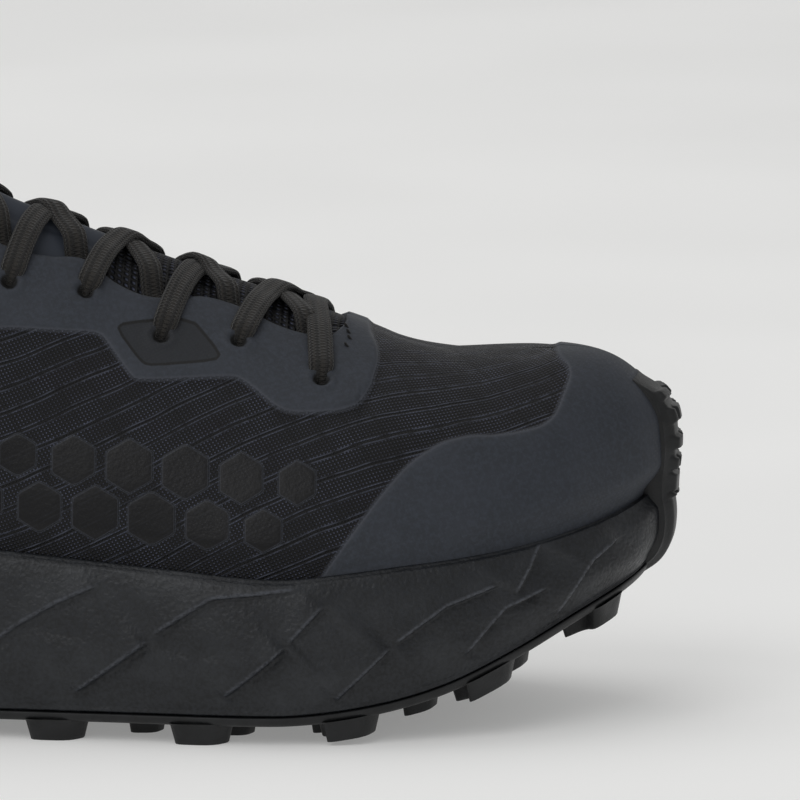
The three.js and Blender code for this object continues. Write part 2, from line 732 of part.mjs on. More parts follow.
// One run of flat lace over the tongue, from one side's row to the other side's.
// An end that dives under the eyestay stops at the throat's edge, the other above its eyelet.
function laceRun(outerRow, innerRow, outerDives, innerDives) {
  const grid = [];
  const pieces = 6;
  const reach = (loop, row, dives) => (dives ? throatEnd(loop) + laceDive : eyeletShare(loop, row));
  for (let i = 0; i <= pieces; i += 1) {
    const across = mix(-1, 1, i / pieces);
    const middle = mix(eyeletStep(outerRow), eyeletStep(innerRow), i / pieces);
    const half = laceWidth / 2 * laceCrowding / soleLength;
    const line = [];
    for (const step of [middle + half, middle - half]) {
      const loop = across < 0 ? step : 2 - step;
      const end = across < 0 ? reach(loop, outerRow, outerDives) : reach(loop, innerRow, innerDives);
      line.push(ribPoint(loop, mix(1, end, Math.abs(across))));
    }
    grid.push(line);
  }
  const low = clearance + overlayThickness + laceClearance;
  return solid(wall(sheet(grid), low, low + laceThickness));
}

function lace() {
  let body = laceRun(0, 0, false, false);
  for (let row = 1; row < eyeletSetbacks.length; row += 1) {
    body = body.add(laceRun(row, row - 1, false, true)).add(laceRun(row - 1, row, true, false));
  }
  return faceted(body);
}

const rubber = new THREE.MeshStandardMaterial({ color: 0x252627, roughness: 0.6 });
const foam = new THREE.MeshStandardMaterial({ color: 0x2a2b2c, roughness: 0.85 });
const mesh = new THREE.MeshStandardMaterial({ color: 0x16171a, roughness: 0.9 });
const film = new THREE.MeshStandardMaterial({ color: 0x2b2d31, roughness: 0.75 });
const knit = new THREE.MeshStandardMaterial({ color: 0x1d1e22, roughness: 0.9 });
const sock = new THREE.MeshStandardMaterial({ color: 0x222326, roughness: 0.95 });
const cord = new THREE.MeshStandardMaterial({ color: 0x2d2b28, roughness: 0.9 });

const shoe = new THREE.Group();
function add(name, geometry, material) {
  const piece = new THREE.Mesh(geometry, material);
  piece.name = name;
  shoe.add(piece);
}
add('outsole', outsole(), rubber);
add('midsole', midsole(), foam);
add('upper', wall(upperSheet, -upperWall, 0), mesh);
add('tongue', tongue(), knit);
add('insole', insole(), sock);
add('toe_cap', toeCap(), film);
add('eyestay', eyestay(), film);
add('heel_counter', heelCounter(), film);
add('lace', lace(), cord);

// The origin is on the floor, under the middle of the whole shoe.
const box = new THREE.Box3().setFromObject(shoe);
const middle = box.getCenter(new THREE.Vector3());
shoe.position.set(-middle.x, -middle.y, -box.min.z);

export default shoe;
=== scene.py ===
# Trail running shoe, right foot: the visible model, built around the CAD model's frame.
# Forms are worked out in millimetres on the CAD model's own lines and then put in its frame in metres.
import math
import random

import bmesh
import bpy
import numpy as np
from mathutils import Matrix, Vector


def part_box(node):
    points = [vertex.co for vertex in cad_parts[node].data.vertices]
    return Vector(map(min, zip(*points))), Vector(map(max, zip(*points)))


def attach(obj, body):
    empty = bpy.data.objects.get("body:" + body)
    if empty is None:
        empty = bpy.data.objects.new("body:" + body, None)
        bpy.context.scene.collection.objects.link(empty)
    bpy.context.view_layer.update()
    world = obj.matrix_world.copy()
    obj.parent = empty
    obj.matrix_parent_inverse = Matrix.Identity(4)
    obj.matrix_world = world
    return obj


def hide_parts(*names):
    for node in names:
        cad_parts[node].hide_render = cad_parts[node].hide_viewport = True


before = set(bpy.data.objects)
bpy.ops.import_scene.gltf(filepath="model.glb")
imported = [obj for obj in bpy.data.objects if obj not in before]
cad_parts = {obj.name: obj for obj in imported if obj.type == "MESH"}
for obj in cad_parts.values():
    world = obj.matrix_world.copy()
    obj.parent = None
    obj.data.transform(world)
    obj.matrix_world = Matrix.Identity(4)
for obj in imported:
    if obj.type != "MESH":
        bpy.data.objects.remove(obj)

bl_info = {
    "name": "Trail running shoe",
    "version": (1, 0, 0),
    "blender": (4, 5, 0),
    "location": "View3D > Sidebar > Shoe",
    "description": "Builds a trail running shoe piece by piece on its packed solids",
    "category": "Add Mesh",
}

# Driving dimensions in mm, as in the CAD model
SOLE_LENGTH = 291
BALL_WIDTH = 111
RIM_HEIGHT = 42.2
HEEL_RIM_RISE = 15
TOE_RIM_RISE = 16
TOE_SPRING = 33
HEEL_BEVEL = 11
INSTEP_HEIGHT = 132.2
TOE_BOX_HEIGHT = 92.2
COLLAR_HEIGHT = 96.2
HEEL_TAB_RISE = 17
THROAT_WIDTH = 36
LUG_HEIGHT = 4.9
PLATE_THICKNESS = 2.5
CUP_DEPTH = 10
RIM_WALL = 2.8
RIM_SET_BACK = 2.6
TOE_RIM_SET_BACK = 2
CUP_CLEARANCE = 0.45
CLEARANCE = 0.3
UPPER_WALL = 2
SIDE_SWELL = 2
TOE_SWELL = 5.4
SWELL_RISE = 9
SWELL_END = 0.6
OVERLAY_THICKNESS = 1
EYELET_PITCH = 19.1
FRONT_EYELET = 0.693
# From the throat's edge to each eyelet, front to back, as shares of a rib
EYELET_SETBACKS = [0.14, 0.11, 0.1, 0.085, 0.08, 0.08]
THROAT_FRONT = 0.722
CLOSED_THROAT = 0.1
BALL = 0.665
TOE_BOX = 0.815
NUDGE = 0.004

# Half of the sole's outline by step from heel to toe, as shares of the ball width: outer and inner side
OUTLINE = [
    (0.0, 0.0, 0.0), (0.1, 0.19, 0.19), (0.2, 0.315, 0.3), (0.3, 0.365, 0.32), (0.4, 0.385, 0.3),
    (0.5, 0.445, 0.35), (0.6, 0.505, 0.465), (0.7, 0.46, 0.47), (0.8, 0.345, 0.385),
    (0.9, 0.155, 0.25), (1.0, -0.05, 0.05),
]
# Rise of the sole's underside and of its top edge along the sole
SOLE = [
    (0.0, 1.0, 1.0), (0.03, 0.58, 0.95), (0.065, 0.24, 0.89), (0.11, 0.05, 0.83), (0.15, 0.0, 0.78),
    (0.3, 0.0, 0.58), (0.43, 0.0, 0.38), (0.58, 0.0, 0.12), (0.665, 0.0, 0.0), (0.71, 0.03, 0.06),
    (0.77, 0.12, 0.18), (0.815, 0.24, 0.26), (0.87, 0.46, 0.4), (0.92, 0.68, 0.58),
    (0.96, 0.83, 0.75), (1.0, 1.0, 1.0),
]
# Ridge of the upper along the sole: height as a share of the instep, place to the inner side
CREST = [
    (0.0, 1.16, 0.0), (0.3, 1.14, -0.03), (0.36, 1.08, -0.03), (0.43, 1.0, -0.03),
    (0.47, 0.965, -0.025), (0.53, 0.912, -0.01), (0.6, 0.855, 0.01), (0.64, 0.826, 0.02),
    (0.69, 0.786, 0.03), (0.73, 0.752, 0.035), (0.77, 0.717, 0.04), (0.815, 0.692, 0.045),
]
# Roundness of the upper's ribs by step, on the outer and the inner side
RIBS = [
    (0.0, 2.5, 2.5), (0.2, 2.4, 2.5), (0.35, 1.85, 2.25), (0.5, 1.65, 2.0), (0.6, 1.7, 1.9),
    (0.7, 2.05, 2.15), (0.8, 2.65, 2.7), (0.9, 3.9, 3.9), (1.0, 5.2, 5.2),
]
COLLAR = [(0.0, 1.0), (0.08, 0.86), (0.2, 0.24), (0.29, 0.0), (0.35, 0.35), (0.4, 1.6), (0.44, 3.4)]
# Half of the throat's opening along the sole, as shares of its greatest half width
THROAT = [
    (0.3, 0.8), (0.36, 0.68), (0.43, 0.8), (0.465, 0.78), (0.495, 0.71), (0.522, 0.88), (0.548, 0.95),
    (0.57, 0.91), (0.6, 0.78), (0.63, 0.83), (0.66, 1.0), (0.685, 1.05), (0.7, 1.02), (0.71, 0.8),
    (0.718, 0.45), (THROAT_FRONT, 0.0),
]


class Curve:
    """A smooth curve through one column of a table, drawn as the CAD model draws it."""

    def __init__(self, table, column):
        self.keys = np.array([row[0] for row in table], dtype=float)
        self.values = np.array([row[column] for row in table], dtype=float)

    def __call__(self, at):
        keys = self.keys
        last = len(keys) - 1
        at = np.clip(at, keys[0], keys[-1])
        after = np.clip(np.searchsorted(keys, at, side="right"), 1, last)
        before = after - 1
        share = (at - keys[before]) / (keys[after] - keys[before])
        half = (keys[after] - keys[before]) / 2
        earlier = np.where(after >= 2, after - 2, after)
        later = np.where(after < last, after + 1, before)
        pull = half / (keys[before] - keys[earlier])
        push = half / (keys[later] - keys[after])
        square = share ** 2
        cube = share ** 3
        return (
            self.values[earlier] * (-pull * cube + 2 * pull * square - pull * share)
            + self.values[before]
            * ((1 + pull) * cube - (1.5 + 2 * pull) * square + (pull - 0.5) * share + 1)
            + self.values[after] * ((-1 - push) * cube + (1.5 + push) * square + 0.5 * share)
            + self.values[later] * (push * cube - push * square)
        )


outer_half = Curve(OUTLINE, 1)
inner_half = Curve(OUTLINE, 2)
under_share = Curve(SOLE, 1)
rim_share = Curve(SOLE, 2)
crest_share = Curve(CREST, 1)
crest_inward = Curve(CREST, 2)
outer_box = Curve(RIBS, 1)
inner_box = Curve(RIBS, 2)
collar_share = Curve(COLLAR, 1)
throat_share = Curve(THROAT, 1)


def smooth(value, low, high):
    share = np.clip((value - low) / (high - low), 0, 1)
    return share * share * (3 - 2 * share)


def mix(low, high, share):
    return low + (high - low) * share


def x_of(along):
    return along * SOLE_LENGTH - SOLE_LENGTH / 2


def along_of(x):
    return np.clip(x / SOLE_LENGTH + 0.5, 0, 1)


def step_of(loop):
    return 1 - np.abs(1 - np.mod(loop, 2))


def outline_point(loop):
    """A point of the sole's outline in the ground plan."""
    turn = np.mod(loop, 2)
    step = step_of(loop)
    y = np.where(turn <= 1, -outer_half(step), inner_half(step)) * BALL_WIDTH
    return np.stack([-np.cos(math.pi * turn) * SOLE_LENGTH / 2, y], axis=-1)


def inset_point(loop, inset):
    """A point this far inside the sole's outline; the loop runs heel 0, toe 1, heel 2."""
    tangent = outline_point(loop + NUDGE) - outline_point(loop - NUDGE)
    tangent /= np.linalg.norm(tangent, axis=-1, keepdims=True)
    inward = np.stack([-tangent[..., 1], tangent[..., 0]], axis=-1)
    return outline_point(loop) + inward * np.asarray(inset)[..., None]


def underside(x):
    along = along_of(x)
    return LUG_HEIGHT + np.maximum(0, under_share(along)) * np.where(along < 0.5, HEEL_BEVEL, TOE_SPRING)


def rim_top(x):
    along = along_of(x)
    return RIM_HEIGHT + rim_share(along) * np.where(along < BALL, HEEL_RIM_RISE, TOE_RIM_RISE)


def bed(x):
    return rim_top(x) - CUP_DEPTH


def toe_share(loop):
    return smooth(step_of(loop), 0.84, 0.97)


def rim_inset(loop):
    return mix(RIM_SET_BACK, TOE_RIM_SET_BACK, toe_share(loop))


def upper_inset(loop):
    return rim_inset(loop) + RIM_WALL + CUP_CLEARANCE


def rib_box(loop):
    step = step_of(loop)
    return np.where(np.mod(loop, 2) <= 1, outer_box(step), inner_box(step))


def crest_point(loop):
    """The point of the upper's ridge that the rib of a place on the outline leads to."""
    step = step_of(loop)
    bottom = inset_point(step, upper_inset(step))[..., 0]
    pull = 0.13 * SOLE_LENGTH * smooth(step, 0.55, 1) - 0.27 * SOLE_LENGTH * (1 - smooth(step, 0, 0.35))
    x = bottom - pull
    along = along_of(x)
    toe = TOE_BOX_HEIGHT / INSTEP_HEIGHT
    height = np.where(along > TOE_BOX, toe, np.maximum(crest_share(along), toe))
    return np.stack([x, crest_inward(along) * BALL_WIDTH, height * INSTEP_HEIGHT], axis=-1)


def halve(low, high, rounds, falls_short):
    """Halve an interval again and again around the place where a test turns false."""
    for _ in range(rounds):
        middle = (low + high) / 2
        if falls_short(middle):
            low = middle
        else:
            high = middle
    return low, high


def step_of_crest(x):
    return halve(0.36, 0.8, 30, lambda step: crest_point(np.array(step))[0] < x)[0]


def rib_point(loop, share):
    """A point of the upper's outside: share 0 is at the bed of the sole and 1 at the ridge."""
    loop, share = np.broadcast_arrays(np.asarray(loop, dtype=float), np.asarray(share, dtype=float))
    foot = inset_point(loop, upper_inset(loop))
    crest = crest_point(loop)
    power = 2 / rib_box(loop)
    angle = np.clip(share, 0, 1) * math.pi / 2
    out = np.maximum(np.cos(angle), 0) ** power
    up = np.sin(angle) ** power
    height = mix(bed(foot[..., 0]) + CUP_CLEARANCE, crest[..., 2], up)
    overhang = smooth(height - rim_top(foot[..., 0]), 0, SWELL_RISE) * (1 - smooth(up, SWELL_END, 1))
    swell = mix(SIDE_SWELL, TOE_SWELL, toe_share(loop)) * overhang
    side = foot - crest[..., :2]
    length = np.linalg.norm(side, axis=-1)
    reach = length * out + swell
    flat = crest[..., :2] + side * (reach / length)[..., None]
    point = np.concatenate([flat, height[..., None]], axis=-1)
    return np.where((share >= 1)[..., None], crest, point)


def share_at(loop, height):
    """Share of a rib at which it reaches a height."""
    low = bed(inset_point(loop, upper_inset(loop))[..., 0]) + CUP_CLEARANCE
    up = np.clip((height - low) / (crest_point(loop)[..., 2] - low), 0, 1)
    return np.arcsin(up ** (rib_box(loop) / 2)) / (math.pi / 2)


def throat_end(loop):
    """Share of a rib at which the throat's opening cuts it."""
    foot = inset_point(loop, upper_inset(loop))
    crest = crest_point(loop)
    half = throat_share(along_of(crest[..., 0])) * THROAT_WIDTH / 2
    spread = np.linalg.norm(foot - crest[..., :2], axis=-1)
    share = np.arccos(np.clip(half / spread, 0, 1) ** (rib_box(loop) / 2)) / (math.pi / 2)
    return np.where(half < CLOSED_THROAT, 1.0, share)


def edge_share(loop):
    """Share of a rib at which the upper ends, at the throat or at the collar."""
    step = step_of(loop)
    collar = share_at(loop, COLLAR_HEIGHT + collar_share(step) * HEEL_TAB_RISE)
    return np.where(step > 0.44, throat_end(loop), np.minimum(throat_end(loop), collar))


def rim_share_of_rib(loop):
    return share_at(loop, rim_top(inset_point(loop, upper_inset(loop))[..., 0]))


# From the upper's inside to the insole
INSOLE_GAP = 0.7


# The CAD model's origin lies under the middle of the whole shoe. The insole's box gives the shift to it.
def frame_shift():
    loops = np.arange(52) / 26
    ring = inset_point(loops, upper_inset(loops) + UPPER_WALL + INSOLE_GAP)
    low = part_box("insole")[0]
    return np.array([low[0] * 1000 - ring[:, 0].min(), low[1] * 1000 - ring[:, 1].min(), 0.0])


SHIFT = frame_shift()


def to_frame(points):
    return (np.asarray(points) + SHIFT) / 1000


# Grids of points: columns run around the shoe, rows go up or inward
def grid_normals(grid, closed):
    """Outward normals of a grid whose rows go up and whose columns run heel, outer side, toe."""
    if closed:
        along = np.roll(grid, -1, axis=0) - np.roll(grid, 1, axis=0)
    else:
        along = np.gradient(grid, axis=0)
    up = np.gradient(grid, axis=1)
    normal = np.cross(along, up)
    length = np.linalg.norm(normal, axis=-1, keepdims=True)
    return normal / np.maximum(length, 1e-9)


def grid_faces(columns, rows, closed):
    across = np.arange(columns if closed else columns - 1)
    down = np.arange(rows - 1)
    i, j = np.meshgrid(across, down, indexing="ij")
    k = (i + 1) % columns
    corners = [i * rows + j, k * rows + j, k * rows + j + 1, i * rows + j + 1]
    return np.stack(corners, axis=-1).reshape(-1, 4)


def cross_strips(columns, rows, row, upward):
    """Faces from one side to the other that close a ring of a grid."""
    strips = []
    for i in range(columns // 2):
        corners = [i, i + 1, columns - i - 1, (columns - i) % columns]
        corners = list(dict.fromkeys(corners))
        face = [corner * rows + row for corner in corners]
        strips.append(face if upward else face[::-1])
    return strips


def closed_faces(grid):
    """Faces of a grid that runs around the shoe, closed across its first and last rings."""
    columns, rows = grid.shape[:2]
    faces = grid_faces(columns, rows, True).tolist()
    return faces + cross_strips(columns, rows, rows - 1, True) + cross_strips(columns, rows, 0, False)


def tube_faces(first, rings, around):
    """Faces of a tube with closed ends, whose rings of points follow one another."""
    faces = []
    for i in range(rings - 1):
        for k in range(around):
            a = first + i * around + k
            b = first + i * around + (k + 1) % around
            faces.append([a, b, b + around, a + around])
    faces.append([first + k for k in range(around)][::-1])
    faces.append([first + (rings - 1) * around + k for k in range(around)])
    return faces


def raised(flat, height):
    """Points of the ground plan with their heights."""
    return np.concatenate([flat, height[..., None]], axis=-1)


def linear(code):
    """Linear colour of an sRGB hex code."""
    channels = [int(code[k:k + 2], 16) / 255 for k in (1, 3, 5)]
    return tuple(c / 12.92 if c <= 0.04045 else ((c + 0.055) / 1.055) ** 2.4 for c in channels) + (1.0,)


def add_object(name, data):
    made = bpy.data.objects.new(name, data)
    bpy.context.scene.collection.objects.link(made)
    return made


def make_piece(name, points, faces, material, replaced=(), uv=None, marks=None, weld=0.0):
    """A mesh piece from points in mm, riding on the shoe's one body."""
    mesh = bpy.data.meshes.new(name)
    faces = faces.tolist() if isinstance(faces, np.ndarray) else faces
    mesh.from_pydata(to_frame(points).reshape(-1, 3).tolist(), [], faces)
    if uv is not None:
        layer = mesh.uv_layers.new(name="mm")
        corner = np.empty(len(mesh.loops), dtype=np.int32)
        mesh.loops.foreach_get("vertex_index", corner)
        layer.data.foreach_set("uv", uv.reshape(-1, 2)[corner].astype(np.float32).ravel())
    for key, values in (marks or {}).items():
        mark = mesh.attributes.new(key, "FLOAT", "POINT")
        mark.data.foreach_set("value", values.astype(np.float32).ravel())
    if weld:
        work = bmesh.new()
        work.from_mesh(mesh)
        bmesh.ops.remove_doubles(work, verts=work.verts, dist=weld / 1000)
        bmesh.ops.dissolve_degenerate(work, edges=work.edges, dist=weld / 4000)
        work.to_mesh(mesh)
        work.free()
    mesh.shade_smooth()
    mesh.materials.append(material)
    piece = add_object(name, mesh)
    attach(piece, "root")
    if replaced:
        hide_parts(*replaced)
    return piece


# Materials
def fill_inputs(tree, node, inputs):
    """Set each input of a node to a value, or link it to another node's output."""
    for key, value in inputs.items():
        if isinstance(value, bpy.types.NodeSocket):
            tree.links.new(value, node.inputs[key])
        else:
            node.inputs[key].default_value = value


def add_node(tree, kind, inputs=None, **settings):
    """Add a node with its settings and links."""
    made = tree.nodes.new(kind)
    for key, value in settings.items():
        setattr(made, key, value)
    fill_inputs(tree, made, inputs or {})
    return made


def new_material(name):
    material = bpy.data.materials.new(name)
    material.use_nodes = True
    tree = material.node_tree
    tree.nodes.clear()
    shader = add_node(tree, "ShaderNodeBsdfPrincipled")
    add_node(tree, "ShaderNodeOutputMaterial", {"Surface": shader.outputs["BSDF"]})
    return material, tree, shader


def calc(tree, operation, first, second=0.0, clamp=False):
    made = add_node(tree, "ShaderNodeMath", {0: first, 1: second}, operation=operation, use_clamp=clamp)
    return made.outputs[0]


def times(tree, first, second):
    return calc(tree, "MULTIPLY", first, second)


def plus(tree, first, second):
    return calc(tree, "ADD", first, second)


def minus(tree, first, second):
    return calc(tree, "SUBTRACT", first, second)


def ramp(tree, value, low, high, to_low=0.0, to_high=1.0):
    """Soft step of a value between two thresholds."""
    inputs = {"Value": value, "From Min": low, "From Max": high, "To Min": to_low, "To Max": to_high}
    return add_node(tree, "ShaderNodeMapRange", inputs, interpolation_type="SMOOTHSTEP").outputs["Result"]


def blend_colour(tree, share, first, second):
    """Mix of two colours, each an sRGB hex code or a node's output."""
    first, second = (linear(tone) if isinstance(tone, str) else tone for tone in (first, second))
    inputs = {"Factor": share, 6: first, 7: second}
    return add_node(tree, "ShaderNodeMix", inputs, data_type="RGBA").outputs[2]


def bump(tree, height, distance):
    """Normal of a relief whose height between 0 and 1 is this many mm deep."""
    inputs = {"Height": height, "Distance": distance / 1000}
    return add_node(tree, "ShaderNodeBump", inputs).outputs["Normal"]


def in_metres(tree):
    return add_node(tree, "ShaderNodeTexCoord").outputs["Object"]


def in_mm(tree, turn=0.0):
    """Coordinates of the cloth in mm, turned by an angle in degrees."""
    place = add_node(tree, "ShaderNodeUVMap", uv_map="mm").outputs["UV"]
    inputs = {"Vector": place, "Rotation": (0, 0, math.radians(turn))}
    return add_node(tree, "ShaderNodeMapping", inputs).outputs["Vector"]


def threads(tree, place, pitch, axis="X", wobble=0.0):
    """Parallel threads of one pitch in mm, as a wave between 0 and 1."""
    inputs = {"Vector": place, "Scale": math.pi / 10 / pitch, "Distortion": wobble, "Detail": 1.0}
    wave = add_node(tree, "ShaderNodeTexWave", inputs, bands_direction=axis, wave_profile="SIN")
    return wave.outputs["Fac"]


def grain(tree, pitch, detail=2.0):
    """Noise whose spots are about this many mm wide."""
    inputs = {"Vector": in_metres(tree), "Scale": 1000 / pitch, "Detail": detail}
    return add_node(tree, "ShaderNodeTexNoise", inputs).outputs["Fac"]


def mark(tree, key):
    return add_node(tree, "ShaderNodeAttribute", attribute_name=key).outputs["Fac"]


def woven_ripstop(tree, sizes, colours):
    """Ripstop: painted glints on fine thread crossings, between long raised cords with a painted dark side
    and a painted lit side.

    Gives its colour, the glint of its threads and the height of its weave.
    """
    on_cloth = in_mm(tree, -sizes.cord_turn)
    cords = threads(tree, on_cloth, sizes.cord_pitch, "Y", 0.6)
    groove = ramp(tree, cords, 0.945, 0.99)
    streaks = ramp(tree, grain(tree, 3.2), 0.34, 0.62, 0.15, 1.0)
    lit_side = times(tree, ramp(tree, cords, 0.8, 0.93), streaks)
    lit_side = times(tree, lit_side, minus(tree, 1.0, groove))
    cross_cord = ramp(tree, threads(tree, on_cloth, 1.6 * sizes.cord_pitch, "X", 0.4), 0.95, 1.0)
    # The real threads are about 0.5 mm apart; they are drawn twice as coarse so that they show.
    warp = threads(tree, on_cloth, sizes.thread_pitch, "X", 0.3)
    weft = threads(tree, on_cloth, 0.75 * sizes.thread_pitch, "Y", 0.3)
    crossing = times(tree, warp, weft)
    uneven = ramp(tree, grain(tree, 9.0), 0.35, 0.7, 0.35, 1.0)
    # Painted highlight: bluish glints on the thread crossings, mixed into the cloth's colour.
    glint = times(tree, ramp(tree, crossing, 0.42, 0.85), uneven)
    yarn = blend_colour(tree, glint, colours.cloth_shade, colours.cloth_glint)
    # Painted highlight along the cords' lit side.
    yarn = blend_colour(tree, times(tree, lit_side, 0.5), yarn, colours.cord_highlight)
    yarn = blend_colour(tree, times(tree, cross_cord, 0.5), yarn, colours.cloth_shade)
    # Painted shade along the cords' dark side.
    yarn = blend_colour(tree, groove, yarn, colours.groove)
    weave = plus(tree, times(tree, crossing, 0.5), times(tree, lit_side, 0.3))
    weave = minus(tree, weave, times(tree, groove, 0.3))
    return yarn, glint, weave


def welded_film(tree, colours):
    """Film: a dull skin with a faint powdery mottle, and a darker debossed panel with a dark outline.

    Gives its colour and its mottle.
    """
    mottle = grain(tree, 1.1, 3.0)
    cloud = grain(tree, 14.0)
    film = blend_colour(tree, ramp(tree, mottle, 0.35, 0.75), colours.film_shade, colours.film)
    film = blend_colour(tree, ramp(tree, cloud, 0.3, 0.8, 0.0, 0.4), film, colours.film_worn)
    panel = mark(tree, "panel")
    in_panel = times(tree, ramp(tree, panel, -0.2, 0.2), 0.8)
    film = blend_colour(tree, in_panel, film, colours.panel)
    outline = ramp(tree, calc(tree, "ABSOLUTE", panel), 0.15, 0.5, 1.0, 0.0)
    return blend_colour(tree, outline, film, colours.groove), mottle


def ripstop_with_film(sizes, colours):
    """Woven polyester ripstop with welded polyurethane film, matt beside the glossier cells.

    The distances marked on the mesh draw the film's crisp edges, and a thin painted highlight along them
    and along the cells' rims.
    """
    material, tree, shader = new_material("polyester_ripstop_with_welded_pu_film")
    yarn, glint, weave = woven_ripstop(tree, sizes, colours)
    film, mottle = welded_film(tree, colours)
    overlay = mark(tree, "overlay")
    cells = mark(tree, "gloss")
    is_film = ramp(tree, overlay, -0.25, 0.25)
    gloss = ramp(tree, cells, -0.15, 0.15)
    tone = blend_colour(tree, is_film, yarn, film)
    tone = blend_colour(tree, times(tree, gloss, 0.92), tone, colours.gloss_film)
    # Painted highlight along the rims of the glossy cells.
    cell_rim_highlight = ramp(tree, calc(tree, "ABSOLUTE", cells), 0.12, 0.4, 0.45, 0.0)
    tone = blend_colour(tree, cell_rim_highlight, tone, colours.film_edge_highlight)
    # Painted shade: the eyelet holes are filled near-black.
    tone = blend_colour(tree, ramp(tree, mark(tree, "hole"), -0.2, 0.5), tone, colours.hole)
    # Painted highlight along the film's edges.
    film_rim_highlight = ramp(tree, calc(tree, "ABSOLUTE", overlay), 0.15, 0.75, 0.5, 0.0)
    tone = blend_colour(tree, film_rim_highlight, tone, colours.film_edge_highlight)
    rough = plus(tree, 0.62, times(tree, is_film, 0.06))
    rough = minus(tree, rough, times(tree, gloss, 0.22))
    rough = minus(tree, rough, times(tree, glint, 0.12))
    skin = plus(tree, 0.6, times(tree, mottle, 0.16))
    skin = plus(tree, skin, times(tree, gloss, 0.25))
    layers = {"Factor": calc(tree, "MAXIMUM", is_film, gloss), "A": weave, "B": skin}
    height = add_node(tree, "ShaderNodeMix", layers).outputs["Result"]
    fill_inputs(tree, shader, {
        "Base Color": tone,
        "Roughness": rough,
        "Specular IOR Level": plus(tree, 0.26, times(tree, is_film, 0.14)),
        "Sheen Weight": 0.03,
        "Sheen Roughness": 0.5,
        "Normal": bump(tree, height, 0.55),
    })
    return material


def moulded_foam(colours):
    """Compression-moulded EVA foam with a fine leathery grain, duller in its hollows, and a painted
    highlight along the edges of its steps.
    """
    material, tree, shader = new_material("moulded_eva_foam")
    fine = grain(tree, 0.9, 3.0)
    wide = grain(tree, 11.0)
    tone = blend_colour(tree, ramp(tree, fine, 0.3, 0.7), colours.foam_shade, colours.foam)
    tone = blend_colour(tree, ramp(tree, wide, 0.35, 0.8, 0.0, 0.35), tone, colours.foam_worn)
    # Painted highlight along the foam's step edges, broken up by the fine grain.
    highlight_breakup = ramp(tree, fine, 0.3, 0.6, 0.3, 0.9)
    step = times(tree, ramp(tree, mark(tree, "edge"), 0.1, 1.0), highlight_breakup)
    pores = add_node(
        tree, "ShaderNodeTexVoronoi",
        {"Vector": in_metres(tree), "Scale": 1000 / 1.2},
        feature="SMOOTH_F1",
    )
    height = plus(tree, times(tree, fine, 0.6), times(tree, pores.outputs["Distance"], 0.4))
    fill_inputs(tree, shader, {
        "Base Color": blend_colour(tree, step, tone, colours.foam_edge_highlight),
        "Roughness": ramp(tree, fine, 0.2, 0.8, 0.56, 0.36),
        "Specular IOR Level": 0.4,
        "Normal": bump(tree, height, 0.34),
    })
    return material


def carbon_rubber(colours):
    """Moulded carbon rubber: dense, slightly waxy, with a satin shine on its edges."""
    material, tree, shader = new_material("moulded_carbon_rubber")
    wide = grain(tree, 6.0, 3.0)
    fill_inputs(tree, shader, {
        "Base Color": blend_colour(tree, ramp(tree, wide, 0.3, 0.8), colours.rubber_shade, colours.rubber),
        "Roughness": ramp(tree, wide, 0.2, 0.8, 0.56, 0.42),
        "Specular IOR Level": 0.38,
        "Normal": bump(tree, grain(tree, 0.6), 0.1),
    })
    return material


def air_mesh(sizes, colours):
    """Warp-knitted polyester mesh with a film strip: columns of short stitches with painted bluish glints,
    over dark gaps.
    """
    material, tree, shader = new_material("warp_knitted_air_mesh")
    columns = threads(tree, in_mm(tree, 4), sizes.mesh_pitch, "X", 0.25)
    rows = threads(tree, in_mm(tree, 4), 0.55 * sizes.mesh_pitch, "Y", 0.25)
    stitch = times(tree, columns, rows)
    uneven = ramp(tree, grain(tree, 2.6), 0.3, 0.7, 0.3, 1.0)
    # Painted highlight: bluish glints on the stitches.
    bright = times(tree, ramp(tree, stitch, 0.3, 0.85), uneven)
    tone = blend_colour(tree, bright, colours.tongue_shade, colours.tongue_glint)
    strip = ramp(tree, mark(tree, "strip"), -0.2, 0.2)
    layers = {"Factor": strip, "A": stitch, "B": 0.8}
    height = add_node(tree, "ShaderNodeMix", layers).outputs["Result"]
    fill_inputs(tree, shader, {
        "Base Color": blend_colour(tree, strip, tone, colours.film),
        "Roughness": 0.6,
        "Specular IOR Level": 0.3,
        "Normal": bump(tree, height, 0.7),
    })
    return material


def knitted_lining(name, colours):
    """Brushed knitted polyester: a soft, nearly shineless pile over tiny ribs."""
    material, tree, shader = new_material(name)
    shade = times(tree, threads(tree, in_mm(tree), 1.4, "X", 0.5), grain(tree, 0.7, 3.0))
    tone = blend_colour(tree, ramp(tree, shade, 0.1, 0.6), colours.lining_shade, colours.lining)
    fill_inputs(tree, shader, {
        "Base Color": tone,
        "Roughness": 0.92,
        "Sheen Weight": 0.15,
        "Normal": bump(tree, shade, 0.35),
    })
    return material


def braided_cord(colours):
    """Flat braided polyester lace: yarns cross in a fine herringbone, and its edges are rounded."""
    material, tree, shader = new_material("braided_polyester_lace")
    left = threads(tree, in_mm(tree, 34), 0.85, "X", 0.5)
    right = threads(tree, in_mm(tree, -34), 0.85, "X", 0.5)
    ribs = threads(tree, in_mm(tree), 1.25, "Y", 0.35)
    braid = times(tree, calc(tree, "MAXIMUM", left, right), 0.8)
    yarn = ramp(tree, plus(tree, braid, times(tree, ribs, 1.1)), 0.45, 1.75)
    fuzz = plus(tree, 0.55, times(tree, grain(tree, 0.5), 0.8))
    shade = calc(tree, "MULTIPLY", yarn, fuzz, True)
    fill_inputs(tree, shader, {
        "Base Color": blend_colour(tree, shade, colours.lace_shade, colours.lace),
        "Roughness": 0.8,
        "Sheen Weight": 0.12,
        "Sheen Roughness": 0.4,
        "Normal": bump(tree, yarn, 0.5),
    })
    return material


